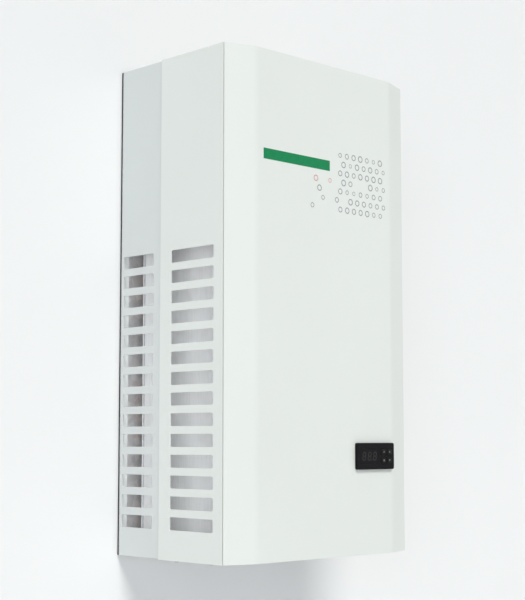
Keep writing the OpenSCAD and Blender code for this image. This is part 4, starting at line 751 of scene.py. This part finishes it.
class SubAssembly:
    """Work that every sub-assembly shares: finishing CAD nodes and adding pieces beside them."""

    dresses: tuple[Dress, ...] = ()

    def __init__(self, forms: Forms) -> None:
        """Keeps the trees that make repeated forms."""
        self.forms = forms

    def build(self) -> None:
        """Dresses the CAD nodes; where pieces are added, the sub-assembly has its own method."""
        for dress in self.dresses:
            for node in dress.nodes.split():
                self.refine(node, dress)

    def refine(self, node: str, dress: Dress) -> None:
        """Stands a finished copy in for a CAD node, with round faces smooth and edges broken."""
        source = frame["nodes"][node]
        shape = bmesh.new()
        shape.from_mesh(source.data)
        bmesh.ops.remove_doubles(shape, verts=shape.verts, dist=MERGE_DISTANCE)
        flat = math.radians(FLAT_ANGLE)
        bmesh.ops.dissolve_limit(shape, angle_limit=flat, verts=shape.verts, edges=shape.edges)
        piece = mesh_object(node + "_finished", shape)
        self.smooth(piece, dress.angle)
        if dress.edge:
            soft = piece.modifiers.new("broken_edges", "BEVEL")
            soft.width, soft.segments = dress.edge, 2
            soft.limit_method, soft.angle_limit = "ANGLE", math.radians(dress.angle)
        piece.modifiers.new("even_shading", "WEIGHTED_NORMAL").keep_sharp = True
        self.attach(piece, dress.finish, source["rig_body"])
        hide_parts(node)

    @staticmethod
    def smooth(piece: Piece, angle: float) -> None:
        """Shades a piece smoothly except at its sharp edges."""
        mesh = piece.data
        if "custom_normal" in mesh.attributes:
            mesh.attributes.remove(mesh.attributes["custom_normal"])
        mesh.shade_smooth()
        mesh.set_sharp_from_angle(angle=math.radians(angle))

    @staticmethod
    def attach(piece: Piece, finish: Finish, body: str = "casing") -> None:
        """Gives a piece its finish, and lets it ride on its body."""
        piece.data.materials.clear()
        piece.data.materials.append(finish.material())
        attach(piece, body)
        LOG.info("%s: %s, on %s", piece.name, finish.name, body)

    def heads(self, name: str, finish: Finish, head: Piece, spots: VectorPairs, seed: int) -> Piece:
        """Sets a fastener head on each spot and removes the single one.

        Args:
            name: name of the piece.
            finish: its finish.
            head: the single head, its seat at z 0.
            spots: place and aim of each head.
            seed: seed of their turns.

        Returns:
            The heads as one piece, not yet attached.
        """
        carrier = bpy.data.meshes.new(name + "_places")
        carrier.from_pydata([tuple(place) for place, _ in spots], [], [])
        aims = carrier.attributes.new("aim", "FLOAT_VECTOR", "POINT")
        aims.data.foreach_set("vector", [value for _, aim in spots for value in aim])
        piece = self.forms.heads.run(name, finish, carrier, Head=head, Seed=seed)
        bpy.data.objects.remove(head)
        return piece

    def fin_pack(self, coil: str, axis: int, pitch: float, sheet: float, ripple: Pair) -> None:
        """Stands a pack of rippled fins at their real pitch in for a coil's CAD fins.

        Args:
            coil: the coil's name.
            axis: 0 or 1 for a row of fins along x or y.
            pitch: distance between fins.
            sheet: thickness of a fin.
            ripple: height and length of its waves.
        """
        low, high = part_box(coil + "_fins")
        count = int((high[axis] - low[axis] - sheet) / pitch)
        start, step = (low + high) / 2, [0.0, 0.0, 0.0]
        start[axis] -= (count - 1) * pitch / 2
        step[axis] = pitch
        pack = self.forms.fins.run(
            coil + "_fin_pack", FIN_STOCK, Count=count, Start=tuple(start), Step=tuple(step),
            Plate=(high[1 - axis] - low[1 - axis], sheet, high.z - low.z),
            Ripple=ripple[0], Ripple_Length=ripple[1], Turn=(0.0, 0.0, (1 - axis) * math.pi / 2),
        )
        self.attach(pack, FIN_STOCK)
        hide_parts(coil + "_fins")


class Casing(SubAssembly):
    """White sheet casing: rear case, hood, front panel with its printing, back plate, pan, screws."""

    dresses = (
        Dress(WHITE_COAT, "front_panel", SHEET_EDGE, angle=20.0),
        Dress(WHITE_COAT, "left_front_side right_front_side front_top", SHEET_EDGE),
        # Rear sheets: white coat with painted shade from the wall.
        Dress(REAR_SHADED_COAT, "left_rear_side right_rear_side rear_top", SHEET_EDGE),
        Dress(ZINC_SHEET, "back_plate base_pan", SHEET_EDGE),
        Dress(BLACK_RUBBER, "wall_seal", edge=0.6 * MM),
    )
    front_plane = -234 * MM
    film = 0.06 * MM
    strip_x = (-126 * MM, 7 * MM)
    strip_z = (196 * MM, 211 * MM)
    ring_radius = 4.3 * MM
    ring_line = 1.5 * MM
    ring_pitch_x = 14.6 * MM
    ring_pitch_z = 13.2 * MM
    field_corner = (29 * MM, 143 * MM)
    tail_corner = (-44 * MM, 143 * MM)
    rose_corner = (-22 * MM, 182.6 * MM)
    screw_radius = 4 * MM
    screw_height = 2.2 * MM
    shank_radius = 2 * MM
    shank_length = 8 * MM
    head_angle = 30.0

    def build(self) -> None:
        """Dresses the sheets and adds printing and screws."""
        super().build()
        self.strip()
        self.rings()
        self.screws()

    def strip(self) -> None:
        """Prints the plain green strip."""
        (left, right), (low, high) = self.strip_x, self.strip_z
        shape = bmesh.new()
        corners = [(left, low), (right, low), (right, high), (left, high)]
        plate(shape, corners, self.front_plane - self.film, self.front_plane)
        self.attach(mesh_object("printed_green_strip", shape), GREEN_INK)

    def rings(self) -> None:
        """Prints the field of small rings and its thinner tail, some of it in rose."""
        fields = (
            ("printed_rings", GREY_INK, self.field_corner, (7, 7), 3, (0.95, 1.0)),
            ("printed_rings_tail", GREY_INK, self.tail_corner, (5, 3), 11, (0.25, 0.9)),
            ("printed_rings_rose", ROSE_INK, self.rose_corner, (3, 1), 5, (0.9, 1.0)),
        )
        y = self.front_plane - self.film / 2
        for name, finish, (x, z), (columns, rows), seed, (left, right) in fields:
            piece = self.forms.rings.run(
                name, finish, Columns=columns, Rows=rows, Corner=(x, y, z), Seed=seed,
                Left_Share=left, Right_Share=right, Pitch_X=self.ring_pitch_x,
                Pitch_Z=self.ring_pitch_z, Radius=self.ring_radius, Line=self.ring_line, Film=self.film,
            )
            self.attach(piece, finish)

    def screw_head(self) -> Piece:
        """Makes one pan head with a cross recess, its seat at z 0; sizes are shares of its own."""
        r, h = self.screw_radius, self.screw_height
        dome = (
            (0.0, -0.2), (0.97, -0.2), (1.0, 0.06), (0.98, 0.4),
            (0.86, 0.74), (0.62, 0.93), (0.3, 1.0), (0.0, 1.0),
        )
        head = revolved("screw_head", [(x * r, z * h) for x, z in dome], steps=24)
        cutter = bmesh.new()
        wide, narrow, taper, deep, above = 0.62 * r, 0.13 * r, 0.45, 0.66 * h, 1.3 * h
        for across, along in ((wide, narrow), (narrow, wide)):
            low = [(x * across * taper, y * along * taper, h - deep) for x, y in SQUARE]
            block(cutter, low, [(x * across, y * along, above) for x, y in SQUARE])
        cross = mesh_object("screw_cross", cutter)
        cut = head.modifiers.new("cross", "BOOLEAN")
        cut.operation, cut.object, cut.solver, cut.use_self = "DIFFERENCE", cross, "EXACT", True
        mesh = evaluated(head)
        head.modifiers.clear()
        head.data = mesh
        bpy.data.objects.remove(cross)
        self.smooth(head, self.head_angle)
        return head

    def screws(self) -> None:
        """Sets a cross-recessed head and a plain shank on each of the nine casing screws."""
        spots = []
        for low, high in islands("casing_screws"):
            middle, up = (low + high) / 2, high.z > 0
            seat = high.z - self.screw_height if up else low.z + self.screw_height
            spots.append((Vector((middle.x, middle.y, seat)), Vector((0, 0, 1 if up else -1))))
        heads = self.heads("casing_screw_heads", BRIGHT_ZINC, self.screw_head(), spots, seed=4)
        shape = bmesh.new()
        shape.from_mesh(heads.data)
        for place, aim in spots:
            bmesh.ops.create_cone(
                shape, cap_ends=True, segments=16, radius1=self.shank_radius,
                radius2=self.shank_radius, depth=self.shank_length,
                matrix=Matrix.Translation(place - aim * self.shank_length / 2),
            )
        shape.to_mesh(heads.data)
        shape.free()
        self.smooth(heads, self.head_angle)
        self.attach(heads, BRIGHT_ZINC)
        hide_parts("casing_screws")


class Controller(SubAssembly):
    """Panel instrument: bezel, smoked pane with resting digits, and four marked keys."""

    dresses = (
        Dress(BEZEL_PLASTIC, "controller_housing", edge=0.5 * MM),
        Dress(DISPLAY_PANE, "controller_window", PLASTIC_EDGE),
        Dress(KEY_PLASTIC, "key_set key_up key_down key_defrost", edge=0.5 * MM),
    )
    film = 0.04 * MM
    digit_height = 12.5 * MM
    digit_width = 7.2 * MM
    digit_pitch = 11.6 * MM
    bar = 1.5 * MM
    gap_share = 0.15
    slant = 0.12
    point_radius = 0.9 * MM
    mark = 1.7 * MM

    def build(self) -> None:
        """Dresses the controller and adds its digits and signs."""
        super().build()
        self.digits()
        self.marks()

    @staticmethod
    def segment(start: float, end: float, half: float) -> list[Pair]:
        """Corners of a bar with pointed ends as places along and across it."""
        near, far = start + half, end - half
        return [(start, 0.0), (near, -half), (far, -half), (end, 0.0), (far, half), (near, half)]

    def digits(self) -> None:
        """Lays three resting seven-segment digits and a point on the pane."""
        low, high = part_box("controller_window")
        middle_x, middle_z = (low.x + high.x) / 2, (low.z + high.z) / 2
        h, w, b = self.digit_height / 2, self.digit_width / 2, self.bar / 2
        gap = self.gap_share * self.bar
        outlines = [
            [(along, across + level) for along, across in self.segment(-w + b + gap, w - b - gap, b)]
            for level in (-h + b, 0.0, h - b)
        ]
        for x in (-(w - b), w - b):
            for start, end in ((-h + b + gap, -gap), (gap, h - b - gap)):
                outlines.append([(x - across, along) for along, across in self.segment(start, end, b)])
        front = low.y - self.film
        shape = bmesh.new()
        for i in (-1, 0, 1):
            at = middle_x + i * self.digit_pitch
            for outline in outlines:
                leant = [(at + x + z * self.slant, middle_z + z) for x, z in outline]
                plate(shape, leant, front, low.y)
        at = (middle_x + self.digit_pitch / 2 - h * self.slant, middle_z - h + b)
        point = [(at[0] + x, at[1] + z) for x, z in circle(self.point_radius, steps=12)]
        plate(shape, point, front, low.y)
        self.attach(mesh_object("resting_digits", shape), DIM_SEGMENT)

    def marks(self) -> None:
        """Prints a plain sign on each key; each sign rides on its own key."""
        arrow = [(-1.0, -0.7), (1.0, -0.7), (0.0, 0.9)]
        turns = [math.radians(150 + 24 * i) for i in range(11)]
        signs = {
            "set": [(0.8 * x, 0.8 * z) for x, z in SQUARE],
            "up": arrow,
            "down": [(x, -z) for x, z in arrow][::-1],
            "defrost": [(0.62 * math.cos(a), -0.35 + 0.62 * math.sin(a)) for a in turns] + [(0.0, 1.05)],
        }
        for key, sign in signs.items():
            low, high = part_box("key_" + key)
            at = ((low.x + high.x) / 2, (low.z + high.z) / 2)
            outline = [(at[0] + x * self.mark, at[1] + z * self.mark) for x, z in sign]
            shape = bmesh.new()
            plate(shape, outline, low.y - self.film, low.y + self.film)
            self.attach(mesh_object("key_sign_" + key, shape), KEY_INK, key + "_key")


class CondenserSection(SubAssembly):
    """Finned coil with its end plates, shroud, bracket, motor and rotor."""

    dresses = (
        Dress(COPPER, "condenser_tubes"),
        Dress(
            ZINC_SHEET, "condenser_end_plates condenser_fan_shroud condenser_fan_bracket", SHEET_EDGE
        ),
        Dress(MOTOR_METAL, "condenser_fan_motor"),
        Dress(BLACK_PLASTIC, "condenser_fan_blades", angle=TUBE_ANGLE),
    )

    def build(self) -> None:
        """Makes the fins and dresses the rest."""
        self.fin_pack(
            "condenser", axis=1, pitch=2.0 * MM, sheet=0.18 * MM, ripple=(0.45 * MM, 11 * MM)
        )
        super().build()


class CompressorGroup(SubAssembly):
    """Hermetic compressor on rubber feet, with its terminal cover and a weld run."""

    dresses = (
        Dress(BLACK_ENAMEL, "compressor_shell"),
        Dress(BLACK_PLASTIC, "compressor_terminal_cover", edge=0.6 * MM),
        Dress(BLACK_RUBBER, "compressor_grommets"),
        Dress(BRIGHT_ZINC, "compressor_bolts", FINE_EDGE),
    )
    weld_share = 0.52
    top_depth = 40 * MM

    def build(self) -> None:
        """Dresses the group and runs a weld round the shell, as wide as the shell's top part."""
        super().build()
        low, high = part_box("compressor_shell")
        spots = [v.co for v in frame["nodes"]["compressor_shell"].data.vertices]
        top = max(p.z for p in spots) - self.top_depth
        spots = [p for p in spots if p.z > top]
        (x0, x1), (y0, y1) = [(min(p[i] for p in spots), max(p[i] for p in spots)) for i in (0, 1)]
        middle = ((x0 + x1) / 2, (y0 + y1) / 2, low.z + (high.z - low.z) * self.weld_share)
        run = self.forms.weld.run(
            "compressor_weld_run", BLACK_ENAMEL, Ripples=150, Radius=(x1 - x0) / 2,
            Width=1.5 * MM, Middle=middle, Seed=2,
        )
        self.smooth(run, angle=60.0)
        self.attach(run, BLACK_ENAMEL)


class Pipework(SubAssembly):
    """Copper refrigerant circuit with its drier, valves and switch."""

    dresses = (
        Dress(
            COPPER, "discharge_pipe suction_pipe liquid_pipe capillary_tube filter_drier",
            angle=TUBE_ANGLE,
        ),
        Dress(BRASS, "service_valves pressure_switch", FINE_EDGE),
    )


class Drainage(SubAssembly):
    """Condensate tray, drain pipe and overflow spigot."""

    dresses = (
        Dress(BLACK_PLASTIC, "condensate_tray", edge=0.4 * MM),
        Dress(GREY_PLASTIC, "drain_pipe drain_outlet", FINE_EDGE),
    )


class Electrics(SubAssembly):
    """Electrical box with its lid, terminals, contactor, capacitor and cable gland."""

    dresses = (
        Dress(ZINC_SHEET, "electrical_box electrical_box_lid", SHEET_EDGE),
        Dress(IVORY_PLASTIC, "terminal_block", PLASTIC_EDGE),
        Dress(GREY_PLASTIC, "contactor", edge=0.4 * MM),
        Dress(GREY_PLASTIC, "cable_gland", PLASTIC_EDGE),
        Dress(TRAY_ALUMINIUM, "run_capacitor"),
    )


class WallPlug(SubAssembly):
    """Foam block and sheet sleeve that pass through the wall."""

    dresses = (
        Dress(PLUG_FOAM, "plug_foam", edge=0.8 * MM),
        Dress(WHITE_COAT, "plug_sleeve", SHEET_EDGE),
    )


class EvaporatorSection(SubAssembly):
    """Cold side behind the wall: panels, coil, tray, motor, rotor and wire guard."""

    dresses = (
        Dress(
            WHITE_COAT, "evaporator_top evaporator_left evaporator_right evaporator_fan_panel",
            SHEET_EDGE,
        ),
        Dress(TRAY_ALUMINIUM, "drip_tray", SHEET_EDGE),
        Dress(COPPER, "evaporator_tubes"),
        Dress(ZINC_SHEET, "evaporator_end_plates", SHEET_EDGE),
        Dress(MOTOR_METAL, "evaporator_fan_motor"),
        Dress(BLACK_PLASTIC, "evaporator_fan_blades", angle=TUBE_ANGLE),
        Dress(BLACK_ENAMEL, "evaporator_fan_guard", angle=50.0),
        Dress(STAINLESS, "defrost_heater air_probe", angle=TUBE_ANGLE),
    )
    rivet_radius = 3.2 * MM
    rivet_height = 1.1 * MM
    rivet_in = 11 * MM
    rivet_end = 30 * MM
    rivets_in_row = 4

    def build(self) -> None:
        """Dresses the section, makes its fins and sets its rivets."""
        super().build()
        self.fin_pack(
            "evaporator", axis=0, pitch=4.2 * MM, sheet=0.2 * MM, ripple=(0.5 * MM, 12 * MM)
        )
        self.rivets()

    def row(self, low: float, high: float) -> list[float]:
        """Places of the rivets along an edge."""
        span, gaps = high - low - 2 * self.rivet_end, self.rivets_in_row - 1
        return [low + self.rivet_end + span * i / gaps for i in range(self.rivets_in_row)]

    def rivets(self) -> None:
        """Sets blind rivets along the edges of the panels."""
        top_low, top_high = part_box("evaporator_top")
        side_low, side_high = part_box("evaporator_right")
        sides = ((-1, top_low.x), (1, top_high.x))
        spots = [
            (Vector((x - side * self.rivet_in, y, top_high.z)), Vector((0, 0, 1)))
            for y in self.row(top_low.y, top_high.y) for side, x in sides
        ]
        spots += [
            (Vector((x, side_high.y - self.rivet_in, z)), Vector((side, 0, 0)))
            for z in self.row(side_low.z, side_high.z) for side, x in sides
        ]
        shares = (
            (0.0, -0.3), (1.0, -0.3), (1.0, 0.15), (0.8, 0.65),
            (0.45, 1.0), (0.3, 1.0), (0.28, 0.55), (0.0, 0.55),
        )
        profile = [(x * self.rivet_radius, z * self.rivet_height) for x, z in shares]
        head = revolved("rivet_head", profile, steps=20)
        rivets = self.heads("evaporator_rivets", TRAY_ALUMINIUM, head, spots, seed=9)
        self.smooth(rivets, angle=35.0)
        self.attach(rivets, TRAY_ALUMINIUM)


class Studio:
    """Camera at the photograph's viewpoint, soft lamps, pale floor and a wall behind the casing."""

    eye = (-1.443, -1.572, -0.186)
    ahead = (0.656, 0.7547, 0.0)
    focal_pixels = 490.0
    aim_right = 30.0
    aim_up = 49.0
    lens = 83.8
    sensor = 36.0
    wall_y = 3.4 * MM
    wall_inset = 4 * MM
    floor_z = -0.80
    reach = 7.0
    vent_x = 181 * MM
    vent_z = (-330 * MM, 110 * MM)
    front_vents = (-198 * MM, -111 * MM)
    rear_vents = (-72 * MM, -6 * MM)
    background = (0.88, 0.89, 0.90)
    even_light = (0.97, 0.985, 1.0)
    floor_colour = (0.82, 0.83, 0.84)
    wall_colour = (0.90, 0.905, 0.91)

    def build(self) -> None:
        """Makes the camera first, then light and surroundings."""
        self.camera()
        self.world()
        self.lamps()
        self.floor()
        self.wall()
        bpy.context.scene.view_settings.view_transform = "Standard"

    @staticmethod
    def aimed(name: str, data: object, towards: Vector, axis: str) -> Piece:
        """Adds a lamp or a camera; the axis that points there is Z for a lamp, -Z for a camera."""
        holder = linked(name, data)
        holder.rotation_mode = "QUATERNION"
        holder.rotation_quaternion = towards.to_track_quat(axis, "Y")
        return holder

    def camera(self) -> None:
        """Looks at the unit along the line of sight that the photograph has."""
        ahead = Vector(self.ahead).normalized()
        right = ahead.cross(Vector((0, 0, 1)))
        aim = ahead * self.focal_pixels + right * self.aim_right + Vector((0, 0, self.aim_up))
        lens = bpy.data.cameras.new("camera")
        lens.lens, lens.sensor_width = self.lens, self.sensor
        eye = self.aimed("camera", lens, aim, "-Z")
        eye.location = self.eye
        bpy.context.scene.camera = eye

    def world(self) -> None:
        """Even light from all round; the eye, gloss and glass see the pale background instead."""
        world = bpy.data.worlds.new("studio")
        world.use_nodes = True
        world.node_tree.nodes.clear()
        wiring = Wiring(world.node_tree)
        rays = wiring.put("ShaderNodeLightPath").outputs
        seen = wiring.math("MAXIMUM", rays["Is Camera Ray"], rays["Is Glossy Ray"])
        seen = wiring.math("MAXIMUM", seen, rays["Is Transmission Ray"])
        light, back = [
            wiring.out("ShaderNodeBackground", Color=(*colour, 1.0), Strength=strength)
            for colour, strength in ((self.even_light, 0.385), (self.background, 0.98))
        ]
        mixed = wiring.out("ShaderNodeMixShader", seen, light, back)
        wiring.put("ShaderNodeOutputWorld", Surface=mixed)
        bpy.context.scene.world = world

    def sun(self, name: str, towards: Point, colour: Colour, strength: float, spread: float) -> None:
        """Adds a parallel lamp; a large spread, in degrees, gives soft shadows."""
        lamp = bpy.data.lights.new(name, "SUN")
        lamp.energy, lamp.angle, lamp.color = strength, math.radians(spread), colour
        self.aimed(name, lamp, Vector(towards), "Z")

    def inner_lamp(self, name: str, side: int, span: Pair, power: float) -> None:
        """Adds a faint lamp inside a column of vents, on the left (-1) or right (1), at a span of y."""
        low, high = self.vent_z
        lamp = bpy.data.lights.new(name, "AREA")
        lamp.shape, lamp.energy = "RECTANGLE", power
        lamp.size, lamp.size_y = span[1] - span[0], high - low
        holder = self.aimed(name, lamp, Vector((side, 0, 0)), "Z")
        holder.location = (side * self.vent_x, (span[0] + span[1]) / 2, (low + high) / 2)
        holder.visible_camera = False
        holder.visible_glossy = False

    def lamps(self) -> None:
        """Key lamp from the upper left, cool fill, faint lamps in the vents and one behind the wall."""
        self.sun("key", (-0.205, -0.714, 0.669), (1.0, 1.0, 0.965), strength=1.62, spread=24.0)
        self.sun("left_fill", (-0.765, -0.642, 0.05), (0.90, 0.96, 1.0), strength=0.53, spread=30.0)
        self.inner_lamp("left_vents_front", -1, self.front_vents, power=0.09)
        self.inner_lamp("left_vents_rear", -1, self.rear_vents, power=0.085)
        self.inner_lamp("right_vents_front", 1, self.front_vents, power=0.05)
        self.inner_lamp("right_vents_rear", 1, self.rear_vents, power=0.04)
        self.sun("behind", (0.45, 0.8, 0.55), (1.0, 1.0, 1.0), strength=0.8, spread=50.0)

    @staticmethod
    def plane(name: str, corners: list, faces: list, colour: Colour, one_sided: bool) -> None:
        """Adds a flat piece of the studio in matt paint; a one-sided one is clear from behind."""
        mesh = bpy.data.meshes.new(name)
        mesh.from_pydata(corners, [], faces)
        linked(name, mesh)
        coat = Coat(name + "_paint", colour, roughness=0.9)
        paint = coat.scaled(colour, coat.drift(scale=1.3, low=0.99, high=1.01))
        coat.feed(Base_Color=paint, Specular_IOR_Level=0.1)
        surface = coat.shader.outputs[0]
        if one_sided:
            clear = coat.out("ShaderNodeBsdfTransparent")
            behind = coat.put("ShaderNodeNewGeometry").outputs["Backfacing"]
            surface = coat.out("ShaderNodeMixShader", behind, surface, clear)
        mesh.materials.append(coat.close(surface))

    def floor(self) -> None:
        """Lays the pale floor below the unit."""
        corners = [(x * self.reach, y * self.reach, self.floor_z) for x, y in SQUARE]
        self.plane("floor", corners, [(0, 1, 2, 3)], self.floor_colour, one_sided=False)

    def wall(self) -> None:
        """Stands the wall that the seal presses on; it is clear from behind and open at the plug."""
        r, y, z, inset = self.reach, self.wall_y, self.floor_z, self.wall_inset
        low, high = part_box("wall_seal")
        x0, x1, z0, z1 = low.x + inset, high.x - inset, low.z + inset, high.z - inset
        outer = [(-r, y, z), (r, y, z), (r, y, z + r), (-r, y, z + r)]
        opening = [(x0, y, z0), (x1, y, z0), (x1, y, z1), (x0, y, z1)]
        quads = [(i, (i + 1) % 4, 4 + (i + 1) % 4, 4 + i) for i in range(4)]
        self.plane("wall", outer + opening, quads, self.wall_colour, one_sided=True)


def main() -> None:
    """Builds the unit's looks in order and reports each piece."""
    logging.basicConfig(level=logging.INFO, format="%(name)s: %(message)s")
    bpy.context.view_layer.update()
    Studio().build()
    forms = Forms()
    assemblies = (
        Casing, Controller, CondenserSection, CompressorGroup, Pipework,
        Drainage, Electrics, WallPlug, EvaporatorSection,
    )
    for assembly in assemblies:
        LOG.info("building %s", assembly.__name__)
        assembly(forms).build()


if __name__ == "__main__":
    main()
